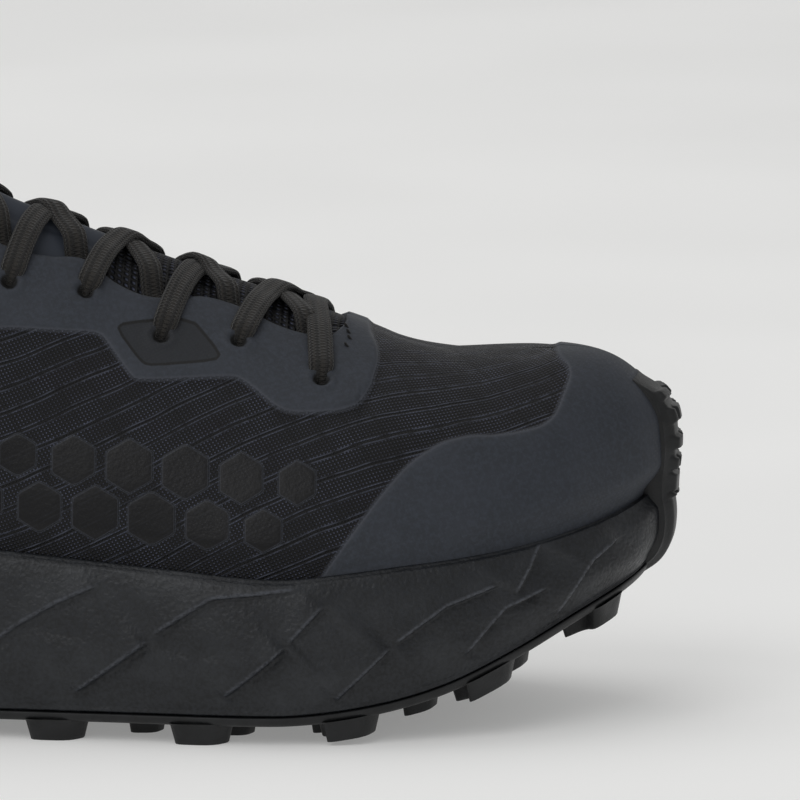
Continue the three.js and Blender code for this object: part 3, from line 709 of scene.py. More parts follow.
def studio_paper(sizes, colours):
    """Matt translucent backdrop, faintly cloudy and lit a little from behind: soft, pale shadows."""
    material, tree, shader = new_material("matt_backlit_backdrop_paper")
    cloud = ramp(tree, grain(tree, 180.0, 1.0), 0.3, 0.7)
    tone = blend_colour(tree, cloud, colours.paper_shade, colours.paper)
    fill_inputs(tree, shader, {
        "Base Color": tone,
        "Emission Color": tone,
        "Emission Strength": sizes.backdrop_glow,
        "Roughness": 0.9,
        "Specular IOR Level": 0.1,
    })
    return material


# Distances in the side view, for the edges of the film, the panel and the foam's steps
def polygon_distance(x, z, corners):
    """Distance in mm to a polygon's edge, positive inside it."""
    near = np.full(x.shape, 1e9)
    inside = np.zeros(x.shape, dtype=bool)
    for (ax, az), (bx, bz) in zip(corners, corners[1:] + corners[:1]):
        ex, ez = bx - ax, bz - az
        share = np.clip(((x - ax) * ex + (z - az) * ez) / (ex * ex + ez * ez), 0, 1)
        near = np.minimum(near, np.hypot(x - ax - share * ex, z - az - share * ez))
        if ez != 0:
            crosses = ((az > z) != (bz > z)) & (x < ex * (z - az) / ez + ax)
            inside ^= crosses
    return np.where(inside, near, -near)


def line_distance(x, z, corners):
    """Signed distance to an open line, positive on its right, and the share of its length."""
    lengths = [math.hypot(b[0] - a[0], b[1] - a[1]) for a, b in zip(corners, corners[1:])]
    total = sum(lengths)
    near = np.full(x.shape, 1e9)
    signed = np.zeros(x.shape)
    place = np.zeros(x.shape)
    done = 0.0
    for (ax, az), (bx, bz), length in zip(corners, corners[1:], lengths):
        ex, ez = bx - ax, bz - az
        share = ((x - ax) * ex + (z - az) * ez) / (length * length)
        held = np.clip(share, 0, 1)
        distance = np.hypot(x - ax - held * ex, z - az - held * ez)
        side = np.sign((z - az) * ex - (x - ax) * ez)
        closer = distance < near
        near = np.where(closer, distance, near)
        signed = np.where(closer, -side * distance, signed)
        place = np.where(closer, (done + held * length) / total, place)
        done += length
    return signed, place


def rounded(corners, rounds=2):
    """The same polygon with its corners cut softer."""
    for _ in range(rounds):
        softer = []
        for (ax, az), (bx, bz) in zip(corners, corners[1:] + corners[:1]):
            softer.append((0.8 * ax + 0.2 * bx, 0.8 * az + 0.2 * bz))
            softer.append((0.2 * ax + 0.8 * bx, 0.2 * az + 0.8 * bz))
        corners = softer
    return corners


# Edges of the welded film in the side view, in mm
TOE_CAP = [
    (54, 31.2), (58.5, 42.8), (64, 50.8), (68.5, 56.5), (72.7, 61.8), (78, 67.5), (81, 70.1), (85.5, 72.8),
    (89, 74.4), (95.5, 75.6), (101, 75.4), (108, 76), (114, 77.2), (117, 79.4), (119, 83.4), (121, 87.4),
    (120.5, 89.8), (118, 91.4), (116, 101.2), (116, 131.2), (180, 131.2), (180, 31.2),
]
EYESTAY = [
    (-90, 90), (-62, 96), (-40, 101), (-22, 102.6), (-9.5, 101.7), (2.3, 101), (4.3, 99), (10.5, 90.7),
    (12.5, 89.6), (35.5, 90.1), (37.8, 89.6), (41, 87.6), (46.3, 83.5), (49.5, 82), (53, 81.6),
    (58.5, 81.6), (64, 82), (68, 83.3), (69.3, 84.8), (71, 87.3), (71.8, 90), (72.5, 91.5),
    (72.5, 94.3), (71.5, 96), (70, 98), (69, 110), (69, 221.2), (-90, 221.2),
]
HEEL_COUNTER = [
    (-60, 41.2), (-61, 51.2), (-67, 61.7), (-93, 83.2), (-116, 105.2), (-134, 123.2), (-170, 131.2),
    (-170, 41.2),
]
# Darker debossed panel around the third eyelet
PANEL = [
    (6.9, 101.5), (8.6, 102.7), (24.9, 103.4), (32.8, 95), (31.8, 93.6), (15.5, 92.9), (13.3, 93.6),
]
# A generic patch of abrasion film: a loose honeycomb of plain cells on the side
PATCH_LOW = (-26, 60.5)
PATCH_HIGH = (54, 84)
PATCH_LEAN = 0.12
PATCH_FALL = 0.09
CELL_WIDTH = 14
CELL_GAP = 2.2
CELL_SHRINK = 0.3


def honeycomb(x, z):
    """Distance to the nearest cell's edge, positive inside; the cells shrink towards the patch's ends."""
    best = np.full(x.shape, -1e9)
    pitch_x = CELL_WIDTH
    pitch_z = CELL_WIDTH * math.sqrt(3) / 2
    rows = int((PATCH_HIGH[1] - PATCH_LOW[1]) / pitch_z) + 1
    columns = int((PATCH_HIGH[0] - PATCH_LOW[0]) / pitch_x) + 1
    for row in range(rows):
        for column in range(columns):
            cx = PATCH_LOW[0] + (column + 0.5 * (row % 2)) * pitch_x + PATCH_LEAN * row * pitch_z
            cz = PATCH_LOW[1] + row * pitch_z - PATCH_FALL * (cx - PATCH_LOW[0])
            fade = 1 - CELL_SHRINK * abs(2 * (column + 0.5) / columns - 1) ** 2
            dx = np.abs(x - cx)
            dz = np.abs(z - cz)
            radius = (CELL_WIDTH - CELL_GAP) / 2 * fade
            cell = radius - np.maximum(dx, dx / 2 + dz * math.sqrt(3) / 2)
            best = np.maximum(best, cell)
    return best


# The upper: outside skin with its rolled edge, and the lining
SIDE_COLUMNS = 380
SKIN_ROWS = 92
ROLL_ROWS = 6
ROLL_RADIUS = 1.45
LINING_ROWS = 26
# The ripstop's cords lie flatter towards the toe: from here on, and how fast, per mm
CORD_BEND_START = 20
CORD_BEND = 0.0024
EYELET_RADIUS = 2.3


def both_sides(count):
    """Places around the shoe, heel to toe on the outer side and back on the inner side."""
    return np.arange(2 * count) / count


def eyelet_step(row):
    """Place of a row of eyelets along the outline, counted from the front."""
    return step_of_crest(x_of(FRONT_EYELET) - row * EYELET_PITCH)


def eyelet_places():
    """Loop, share and centre of every eyelet."""
    places = []
    for row, setback in enumerate(EYELET_SETBACKS):
        step = eyelet_step(row)
        for loop in (step, 2 - step):
            share = float(throat_end(np.array(loop))) - setback
            places.append((loop, share, rib_point(loop, share)))
    return places


def cloth_waves(x, z, side):
    """Low, wide undulations of the stretched cloth, in mm."""
    wave = 0.35 * np.sin(x / 17.0 + z / 23.0 + side)
    wave += 0.25 * np.sin(x / 9.0 - z / 12.0 + 2.1 * side)
    return wave


def build_upper(sizes, colours):
    """Cloth, film, panel, cells and eyelets in one skin, whose free edge rolls inward."""
    loops = both_sides(SIDE_COLUMNS)[:, None]
    rim = rim_share_of_rib(loops)
    edge = edge_share(loops)
    rows = np.linspace(0, 1, SKIN_ROWS)[None, :]
    share = mix(rim - 0.035, edge, rows)
    base = rib_point(loops, share)
    normal = grid_normals(base, True)
    x, z = base[..., 0], base[..., 2]
    cap = polygon_distance(x, z, rounded(TOE_CAP))
    stay = polygon_distance(x, z, rounded(EYESTAY))
    counter = polygon_distance(x, z, rounded(HEEL_COUNTER))
    overlay = np.maximum(np.maximum(cap, stay), counter)
    panel = polygon_distance(x, z, rounded(PANEL, 1))
    gloss = honeycomb(x, z)
    gloss = np.minimum(gloss, -overlay - 1.0)
    hole = np.full(x.shape, -1e9)
    for _, _, centre in eyelet_places():
        hole = np.maximum(hole, EYELET_RADIUS - np.linalg.norm(base - centre, axis=-1))
    rise = CLEARANCE + sizes.film_rise * smooth(overlay, -0.9, 0.9)
    rise += 0.12 * smooth(gloss, -0.5, 0.5)
    rise -= 0.15 * smooth(panel, -0.7, 0.7)
    rise += 0.35 * smooth(hole, -1.8, -0.6) * (1 - smooth(hole, -0.6, 0.6))
    rise -= 2.2 * smooth(hole, -0.3, 1.6)
    side = np.where(loops < 1, 0.0, 1.7)
    free = 1 - smooth(overlay, -6, 0)
    settled = smooth(rows, 0.0, 0.15) * (1 - smooth(rows, 0.9, 1.0))
    rise += cloth_waves(x, z, side) * (0.25 + 0.75 * free) * settled
    skin = base + normal * rise[..., None]
    # The edge rolls inward in a half circle.
    tip = skin[:, -1]
    out = normal[:, -3]
    up = skin[:, -1] - skin[:, -3]
    up /= np.maximum(np.linalg.norm(up, axis=-1, keepdims=True), 1e-9)
    is_open = (edge < 0.9999)[:, :, None]
    angle = (np.arange(1, ROLL_ROWS + 1) / ROLL_ROWS * math.pi)[None, :, None]
    roll = tip[:, None] + ROLL_RADIUS * (
        out[:, None] * (np.cos(angle) - 1) + up[:, None] * np.sin(angle)
    )
    roll = np.where(is_open, roll, tip[:, None])
    grid = np.concatenate([skin, roll], axis=1)
    lengths = np.linalg.norm(np.diff(base, axis=1), axis=-1)
    below = np.concatenate([np.zeros((len(loops), 1)), np.cumsum(lengths, axis=1)], axis=1)
    to_ridge = np.linalg.norm(crest_point(loops[:, 0]) - base[:, -1], axis=-1)[:, None]
    girth = (below[:, -1:] - below + to_ridge) * np.where(loops < 1, -1, 1)
    flat = np.stack([x, girth + CORD_BEND * np.maximum(x - CORD_BEND_START, 0) ** 2], axis=-1)

    def with_roll(values):
        return np.concatenate([values, np.repeat(values[:, -1:], ROLL_ROWS, axis=1)], axis=1)

    marks = {"overlay": overlay, "panel": panel, "gloss": gloss, "hole": hole}
    marks = {key: with_roll(values) for key, values in marks.items()}
    flat = with_roll(flat)
    faces = grid_faces(len(loops), grid.shape[1], True)
    material = ripstop_with_film(sizes, colours)
    replaced = ("upper", "toe_cap", "eyestay", "heel_counter")
    return make_piece("upper_shell", grid, faces, material, replaced, flat, marks, 0.02)


def build_lining(colours):
    """Inside of the upper, from the bed up to its rolled edge."""
    loops = both_sides(SIDE_COLUMNS // 3)[:, None]
    edge = edge_share(loops)
    rows = np.linspace(1, 0, LINING_ROWS)[None, :]
    share = mix(0.01, edge, rows)
    base = rib_point(loops, share)
    normal = -grid_normals(base, True)
    depth = mix(UPPER_WALL, 2 * ROLL_RADIUS - CLEARANCE - 0.1, smooth(rows, 0.85, 1.0))
    grid = base - normal * depth[..., None]
    flat = np.stack([base[..., 0], base[..., 2]], axis=-1)
    faces = grid_faces(len(loops), LINING_ROWS, True)
    material = knitted_lining("brushed_knit_lining", colours)
    return make_piece("upper_lining", grid, faces, material, (), flat, None, 0.02)


# The foam midsole with its sculpted side
FOAM_COLUMNS = 420
SIDE_ROWS = 64
FOOT_INSET = 9
SIDE_TUCK = 5.2
GUARD_ROOM = 1.2
# The top edge's rounding: its width and depth, and how far its inner lip lies below the rim
RIM_ROUND = 1.4
RIM_ROUND_DEPTH = 1.1
RIM_LIP = 0.4
SIDE_TOP = 0.97
SIDE = [(0.0, 1.0), (0.12, 0.42), (0.3, 0.04), (0.5, 0.0), (0.7, 0.1), (0.88, 0.27), (SIDE_TOP, 0.46)]
FOAM_SET_BACK = 0.9
# The scene's foam stands fuller at its foot and beside the toe guard than the plain CAD side.
FOOT_FILL = 1.6
TIP_FILL = 1.4
side_share = Curve(SIDE, 1)

# Steps between the overlapping scales of the foam's side, in the side view in mm, with their depth
FOAM_STEPS = [
    ([(-25, 24.2), (-18.2, 29.6), (-8, 35.6), (4, 41)], 1.7),
    ([(-4.2, 12.1), (13.5, 25.5), (15.5, 27.2)], 2.6),
    ([(15, 27.3), (22.8, 32.6), (31, 37.7), (43, 38.9), (54.5, 40.2)], 2.0),
    ([(33.3, 12.1), (46, 22.5), (50, 26.3)], 2.8),
    ([(50, 26.3), (59.5, 36.4)], 1.9),
    ([(61.5, 11.1), (76.3, 25.5)], 2.6),
    ([(76.3, 25.5), (90, 35.2), (104, 40.2)], 1.6),
    ([(94, 21.5), (105, 33.9), (116.3, 38.4)], 2.4),
    ([(107.3, 37.2), (114.3, 49.8)], 1.8),
    ([(117.5, 29.8), (127, 43.5), (134.5, 48.5)], 2.2),
    ([(-50, 12.2), (-39, 21), (-28, 29)], 2.6),
    ([(-86, 13.2), (-68, 28.2), (-52, 39.2), (-40, 42.2)], 2.6),
    ([(-124, 17.2), (-106, 30.2), (-90, 41.2), (-78, 45.2)], 2.4),
    ([(-142, 31.2), (-130, 41.2), (-118, 48.2)], 1.8),
]
# Faint folds that run across the scales
FOAM_FOLDS = [
    [(-17, 29.8), (0, 27.3)],
    [(13.5, 25.5), (27.8, 24), (36.8, 23.7)],
    [(46, 22.5), (64, 23.7), (78, 26.8)],
    [(88, 27.2), (100, 28.7), (110, 32.2)],
    [(-60, 28.2), (-45, 26.2), (-32, 26.2)],
    [(-100, 31.2), (-84, 29.2), (-70, 28.2)],
]


def foam_relief(x, z, depth):
    """How far the sculpted side stands out, and a mark for the painted highlight along its step edges."""
    relief = np.zeros(x.shape)
    step_edge_highlight = np.zeros(x.shape)
    for line, step in FOAM_STEPS:
        distance, place = line_distance(x, z, line)
        held = smooth(place, 0.0, 0.12) * (1 - smooth(place, 0.86, 1.0))
        behind = np.exp(-np.maximum(-distance, 0) / 9.0) * (1 - smooth(distance, -0.25, 0.45))
        ahead = np.exp(-np.maximum(distance, 0) / 7.0) * smooth(distance, -0.25, 0.45)
        relief += depth * step * held * (0.45 * behind - 0.55 * ahead)
        # A mark for the painted highlight along each step's edge.
        step_edge_highlight = np.maximum(step_edge_highlight, held * np.exp(-((distance + 0.4) / 0.55) ** 2))
    for line in FOAM_FOLDS:
        distance, place = line_distance(x, z, line)
        held = np.sin(math.pi * place) ** 0.7
        relief -= depth * 0.35 * held * np.exp(-(distance / 2.4) ** 2)
    return relief, step_edge_highlight


def foam_inset(loop, up):
    beside_guard = GUARD_ROOM * (1 - up) * toe_share(loop)
    return side_share(up) * SIDE_TUCK + (rim_inset(loop) - RIM_SET_BACK) * up + beside_guard


def foot_height(x):
    """Height of the foam's foot, just above the rubber plate."""
    return underside(x) + PLATE_THICKNESS + CLEARANCE


def build_foam(sizes, colours):
    """Cup of foam: sculpted side, rounded top edge and inner wall, closed below and inside."""
    loops = both_sides(FOAM_COLUMNS)[:, None]
    up = np.linspace(0, SIDE_TOP, SIDE_ROWS)[None, :]
    inset = foam_inset(loops, up)
    plain = inset_point(loops + 0 * up, inset)
    z = mix(foot_height(plain[..., 0]), rim_top(plain[..., 0]), up)
    relief, step_edge_highlight = foam_relief(plain[..., 0], z, sizes.foam_depth)
    reach = np.sin(math.pi * up / SIDE_TOP) ** 0.35 * smooth(up, 0.0, 0.06)
    reach = reach * (1 - smooth(step_of(loops), 0.9, 0.96))
    at_foot = FOOT_FILL * (1 - smooth(up, 0.0, 0.16))
    at_guard = TIP_FILL * smooth(step_of(loops), 0.86, 0.93) * (1 - smooth(up, 0.7, 0.92))
    inset = inset + FOAM_SET_BACK - at_foot - at_guard - np.clip(relief * reach, -3.4, 1.6)
    inset = np.where(up < 0.03, inset - 0.6, inset)
    side = inset_point(loops + 0 * up, inset)
    height = mix(foot_height(side[..., 0]), rim_top(side[..., 0]), up)
    rings = [raised(side, height)]
    # The top edge turns inward in a quarter circle and drops into the cup.
    edge = rim_inset(loops[:, 0])
    for share in np.linspace(0.15, 1, 6):
        ring = inset_point(loops[:, 0], edge + (1 + share) * RIM_ROUND)
        lift = rim_top(ring[:, 0]) - RIM_ROUND_DEPTH * (1 - math.sin(share * math.pi / 2))
        rings.append(raised(ring, lift)[:, None])
    for drop in (0.0, 0.5, 1.0):
        ring = inset_point(loops[:, 0], edge + RIM_WALL)
        lift = rim_top(ring[:, 0]) - RIM_LIP - drop * (CUP_DEPTH - RIM_LIP)
        rings.append(raised(ring, lift)[:, None])
    foot = inset_point(loops[:, 0], np.full(len(loops), FOOT_INSET))
    foot = raised(foot, foot_height(foot[:, 0]))[:, None]
    grid = np.concatenate([foot] + rings, axis=1)
    columns, rows = grid.shape[:2]
    # The edge mark carries the painted highlight along the step edges.
    marks = {"edge": np.concatenate([step_edge_highlight[:, :1], step_edge_highlight, np.zeros((columns, rows - 1 - SIDE_ROWS))], axis=1)}
    material = moulded_foam(colours)
    faces = closed_faces(grid)
    return make_piece("midsole_foam", grid, faces, material, ("midsole",), None, marks)


# The rubber outsole: plate, lugs and toe guard
PLATE_COLUMNS = 220
PLATE_EDGE = [
    (0.0, 0.89), (0.0, 0.6), (0.03, 0.52), (0.1, 0.46), (0.3, 0.4), (0.6, 0.36), (0.88, 0.34),
    (0.98, 0.36), (1.0, 0.42), (1.0, 0.89),
]
EDGE_LUG = (17, 13)
INNER_LUG = (11, 13)
EDGE_LUG_PITCH = 37.5
INNER_LUG_PITCH = 23
EDGE_LUG_INSET = 3.2
FIRST_LUG_STEP = 0.172
LAST_LUG_STEP = 0.91
# First place of the inner lugs and the end of their rows, along the sole
FIRST_INNER_LUG = 0.075
LAST_INNER_LUG = 0.94
LUG_GAP = 1
INNER_LUG_GAP = 3
LUG_STAGGER = 4
LUG_ROOT = 1.2


def build_plate(colours):
    """Thin rubber plate under the foam."""
    loops = both_sides(PLATE_COLUMNS)
    rings = []
    for up, inset in PLATE_EDGE:
        ring = inset_point(loops, np.full(len(loops), inset * FOOT_INSET))
        rings.append(raised(ring, underside(ring[:, 0]) + up * PLATE_THICKNESS))
    grid = np.stack(rings, axis=1)
    material = carbon_rubber(colours)
    return make_piece("outsole_plate", grid, closed_faces(grid), material, ("outsole",))


def lug_places():
    """Centre, turn, length and width of every lug, as in the CAD model."""
    places = []
    inset = EDGE_LUG_INSET + EDGE_LUG[1] / 2
    length = 0.0
    steps = []
    last = None
    step = FIRST_LUG_STEP
    while step < LAST_LUG_STEP:
        flat = inset_point(np.array(step), inset)
        point = np.array([flat[0], flat[1], underside(flat[0])])
        if last is not None:
            length += np.linalg.norm(point - last)
        last = point
        if length >= len(steps) * EDGE_LUG_PITCH:
            steps.append(step)
        step += NUDGE
    for step in steps:
        for loop in (step, 2 - step):
            point = inset_point(np.array(loop), inset)
            ahead = inset_point(np.array(loop + NUDGE), inset) - point
            turn = math.atan2(ahead[1], ahead[0]) + (math.pi if loop > 1 else 0)
            places.append((point[0], point[1], turn, *EDGE_LUG))
    inside = EDGE_LUG_INSET + EDGE_LUG[1] + LUG_GAP + INNER_LUG[1] / 2
    x = x_of(FIRST_INNER_LUG)
    while x < x_of(LAST_INNER_LUG):
        loop = math.acos(max(-1, min(1, -2 * x / SOLE_LENGTH))) / math.pi
        outer = inset_point(np.array(loop), inside)[1]
        inner = inset_point(np.array(2 - loop), inside)[1]
        spread = inner - outer
        count = max(0, int(spread // (INNER_LUG[1] + INNER_LUG_GAP)) + 1)
        for k in range(count if spread >= 0 else 0):
            y = (outer + inner) / 2 if count == 1 else outer + spread * k / (count - 1)
            places.append((x + (k % 2) * LUG_STAGGER, y, 0.0, *INNER_LUG))
        x += INNER_LUG_PITCH
    return places


# Heights (0 root, 1 foot) and widths of a lug's moulded sides, rounded at the foot
LUG_SIDE = [(0.0, 1.06), (0.12, 1.0), (0.8, 0.88), (0.95, 0.855), (0.99, 0.835), (1.0, 0.8)]


def lug_outline(length, width):
    """Ground plan of a lug: an arrow that points to the toe, with softened corners."""
    a, b = length / 2, width / 2
    corners = [(a, 0), (a * 0.45, b), (-a, b), (-a * 0.55, 0), (-a, -b), (a * 0.45, -b)]
    return np.array(rounded(corners, 2))


def build_lugs(colours):
    """Arrow-shaped lugs whose sides taper to a softly rounded foot."""
    points = []
    faces = []
    for x, y, turn, length, width in lug_places():
        outline = lug_outline(length, width)
        spin = np.array([[math.cos(turn), -math.sin(turn)], [math.sin(turn), math.cos(turn)]])
        start = len(points)
        count = len(outline)
        for down, wide in LUG_SIDE:
            ring = (outline * wide) @ spin.T + np.array([x, y])
            for px, py in ring:
                root = underside(px) + LUG_ROOT / 2
                points.append((px, py, root - down * (LUG_HEIGHT + LUG_ROOT / 2)))
        for row in range(len(LUG_SIDE) - 1):
            for k in range(count):
                a = start + row * count + k
                b = start + row * count + (k + 1) % count
                faces.append([a, a + count, b + count, b])
        foot = start + (len(LUG_SIDE) - 1) * count
        centre = len(points)
        px, py = (outline.mean(axis=0) * 0.5) @ spin.T + np.array([x, y])
        points.append((px, py, underside(px) - LUG_HEIGHT))
        for k in range(count):
            faces.append([foot + k, centre, foot + (k + 1) % count])
    return make_piece("outsole_lugs", np.array(points), faces, carbon_rubber(colours))


# Half of the guard's width as a share of the outline's loop, a little less than the CAD model's
GUARD_REACH = 2.5 / 52
GUARD_COLUMNS = 72
GUARD_ROWS = 130
GUARD_SET_OFF = OVERLAY_THICKNESS + 2 * CLEARANCE
GUARD_THICKNESS = 2.2
GUARD_ROOT = 7
GUARD_SINK = 0.2
# Heights of the guard's middle line: shares of the foam's side, then of the upper's rib above its rim
GUARD_ON_FOAM = (0.14, 0.3, 0.5, 0.7, 0.88)
GUARD_ON_UPPER = (1 / 7, 0.2, 1.8 / 7, 2.2 / 7, 2.6 / 7, 3 / 7, 0.5)
# Heights above the floor of the small square teeth on the guard, and how tall each is, in mm
TEETH = [(79.4, 2.0), (75.1, 2.7), (69.1, 2.7), (64.2, 2.9), (59.2, 5.0), (55.2, 1.8)]
TOOTH_PITCH = 9.5
TOOTH_WIDTH = 7.2


def build_guard(sizes, colours):
    """Band of rubber up the foam's tip and onto the toe cap, with rows of small teeth."""
    loops = np.linspace(1 - GUARD_REACH, 1 + GUARD_REACH, GUARD_COLUMNS)
    low = inset_point(loops, np.full(len(loops), GUARD_ROOT))
    path = [raised(low, foot_height(low[:, 0]) + GUARD_SET_OFF - CLEARANCE)]
    for up in GUARD_ON_FOAM:
        flat = inset_point(loops, foam_inset(loops, up))
        path.append(raised(flat, mix(foot_height(flat[:, 0]), rim_top(flat[:, 0]), up)))
    rim = rim_share_of_rib(loops)
    edge = edge_share(loops)
    for up in GUARD_ON_UPPER:
        path.append(rib_point(loops, mix(rim, edge, up ** 1.15)))
    path = np.stack(path, axis=1)
    lengths = np.linalg.norm(np.diff(path, axis=1), axis=-1).mean(axis=0)
    place = np.concatenate([[0], np.cumsum(lengths)])
    fine = np.linspace(0, place[-1], GUARD_ROWS)
    grid = np.empty((GUARD_COLUMNS, GUARD_ROWS, 3))
    for k in range(3):
        for column in range(GUARD_COLUMNS):
            table = list(zip(place, path[column, :, k]))
            grid[column, :, k] = Curve(table, 1)(fine)
    normal = grid_normals(grid, False)
    width = (loops - 1) / GUARD_REACH
    side = smooth(1 - np.abs(width), 0.0, 0.3)[:, None]
    top = smooth(place[-1] - fine, 0.0, 13.0)[None, :]
    lip = 0.25 * smooth(top, 0.0, 0.5)
    full = lip + (1 - lip) * np.minimum(side, top)
    body = GUARD_SET_OFF - GUARD_SINK + (GUARD_THICKNESS + GUARD_SINK) * full
    height = grid[..., 2]
    across = grid[..., 1]
    tooth = np.zeros(height.shape)
    for k, (level, size) in enumerate(TEETH):
        tall = smooth(size / 2 - np.abs(height - level), -0.3, 0.3)
        shift = 0.5 * TOOTH_PITCH * (k % 2)
        local = np.abs(np.mod(across + shift + TOOTH_PITCH / 2, TOOTH_PITCH) - TOOTH_PITCH / 2)
        wide = smooth(TOOTH_WIDTH / 2 - local, -0.35, 0.35)
        tooth = np.maximum(tooth, tall * wide)
    inside = smooth(1 - np.abs(width), 0.14, 0.22)[:, None]
    body = body + sizes.tooth_rise * tooth * inside
    front = grid + normal * body[..., None]
    # Its back fills the groove between the foam's top edge and the cap, so that no light comes through.
    groove = np.exp(-((height - rim_top(grid[..., 0]) - 2) / 6) ** 2)
    back = grid + normal * (GUARD_SET_OFF - 1.9 - 3.2 * groove)[..., None]
    shell = np.concatenate([front[:1], front, front[-1:]], axis=0)
    shell[0] = back[0]
    shell[-1] = back[-1]
    cap = shell[:, -1:].copy()
    cap[1:-1, 0] = back[:, -1]
    cap[0, 0] = back[0, -1]
    cap[-1, 0] = back[-1, -1]
    shell = np.concatenate([shell, cap], axis=1)
    faces = grid_faces(*shell.shape[:2], False)
    material = carbon_rubber(colours)
    return make_piece("toe_guard", shell, faces, material, (), None, None, 0.01)


# The tongue and the insole
TONGUE_TOP_STEP = 0.365
TONGUE_FRONT_STEP = 0.7
TONGUE_THICKNESS = 5
TONGUE_CLEARANCE = 0.95
TONGUE_TUCK = 0.17
TONGUE_HALF_WIDTH = 24
TONGUE_ROWS = 120
TONGUE_COLUMNS = 61
# A smooth film strip covers the tongue's middle down to here, mm
TONGUE_FILM_END = 3.4


def build_tongue(sizes, colours):
    """Padded tongue with three channels, a bound edge and a film strip."""
    rows = np.linspace(0, 1, TONGUE_ROWS)[:, None]
    across = np.linspace(-1, 1, TONGUE_COLUMNS)[None, :]
    step = mix(TONGUE_TOP_STEP, TONGUE_FRONT_STEP, rows)
    loop = np.where(across < 0, step, 2 - step)
    tuck = throat_end(loop) - mix(0.1, TONGUE_TUCK, smooth(rows, 0, 0.15))
    share = mix(1.0, tuck, np.abs(across))
    surface = rib_point(loop, np.minimum(share, 0.9999))
    normal = grid_normals(surface, False)
    normal = np.where((normal[..., 2] < 0)[..., None], -normal, normal)
    top = UPPER_WALL + TONGUE_CLEARANCE
    # Padded channels run along the tongue; its ends are pinched to a bound edge.
    rounding = np.minimum(smooth(1 - np.abs(across), 0.0, 0.12), smooth(rows, 0.0, 0.05))
    crown = sizes.tongue_crown * (np.abs(np.cos(1.5 * math.pi * across)) ** 0.6 - 0.6)
    crown = crown + sizes.tongue_fill * (1 - smooth(np.abs(across), 0.35, 0.7)) * smooth(rows, 0.0, 0.1)
    middle = -top - TONGUE_THICKNESS / 2
    half = TONGUE_THICKNESS / 2 * (0.3 + 0.7 * rounding)
    upper = surface + normal * (middle + half + crown * rounding)[..., None]
    lower = surface + normal * (middle - half)[..., None]
    ring = np.concatenate([upper, lower[:, ::-1]], axis=1)
    columns, count = ring.shape[:2]
    faces = grid_faces(count, columns, True)
    grid = ring.transpose(1, 0, 2)
    faces = faces.tolist()
    half_count = count // 2
    for row in (0, columns - 1):
        for k in range(half_count - 1):
            face = [k, k + 1, count - 2 - k, count - 1 - k]
            face = [corner * columns + row for corner in face]
            faces.append(face if row else face[::-1])
    sideways = np.concatenate([across[0], across[0][::-1]])[:, None] * TONGUE_HALF_WIDTH
    flat = np.stack([grid[..., 0], np.broadcast_to(sideways, grid.shape[:2])], axis=-1)
    wide = np.concatenate([np.abs(across[0]), np.ones(across.shape[1])])[:, None]
    marks = {"strip": np.minimum(TONGUE_FILM_END - grid[..., 0], 16 * (0.62 - wide))}
    material = air_mesh(sizes, colours)
    piece = make_piece("tongue_pad", grid, faces, material, ("tongue",), flat, marks)
    return piece


# Inset and height of the rings over the insole's rounded edge, in mm
INSOLE_COLUMNS = 160
INSOLE_RINGS = [(0.6, 0.0), (0.0, 0.6), (0.0, 3.2), (0.35, 3.75), (1.0, 4.0), (6.0, 3.9), (14.0, 3.7)]


def build_insole(colours):
    """Thin knit-covered insole with a rounded edge."""
    loops = both_sides(INSOLE_COLUMNS)
    rings = []
    for inset, lift in INSOLE_RINGS:
        ring = inset_point(loops, upper_inset(loops) + UPPER_WALL + INSOLE_GAP + inset)
        rings.append(raised(ring, bed(ring[:, 0]) + CUP_CLEARANCE + lift))
    grid = np.stack(rings, axis=1)
    flat = grid[..., :2].copy()
    material = knitted_lining("insole_knit", colours)
    return make_piece("insole_bed", grid, closed_faces(grid), material, ("insole",), flat)


# The lace runs down into each eyelet and comes out from under the other side's edge
LACE_POINTS = 46
RIDGE_ZONE = 0.35
LACE_RING = 16
# Nearly the ridge: a point short of it still has a normal
NEAR_RIDGE = 0.9995
# Heights of the lace's middle over the upper's outside, and how deep its ends dive, in mm
LACE_ON_TONGUE = 1.3
LACE_ON_EDGE = CLEARANCE + OVERLAY_THICKNESS + 0.8
EYELET_DIVE = 4.6
EDGE_DIVE = 3.9


def surface_frame(loop, share):
    """Point and outward normal of the upper's surface."""
    here = rib_point(loop, share)
    along = rib_point(loop + 0.002, share) - rib_point(loop - 0.002, share)
    up = rib_point(loop, np.minimum(share + 0.004, NEAR_RIDGE)) - rib_point(loop, share - 0.004)
    normal = np.cross(along, up)
    return here, normal / np.linalg.norm(normal)


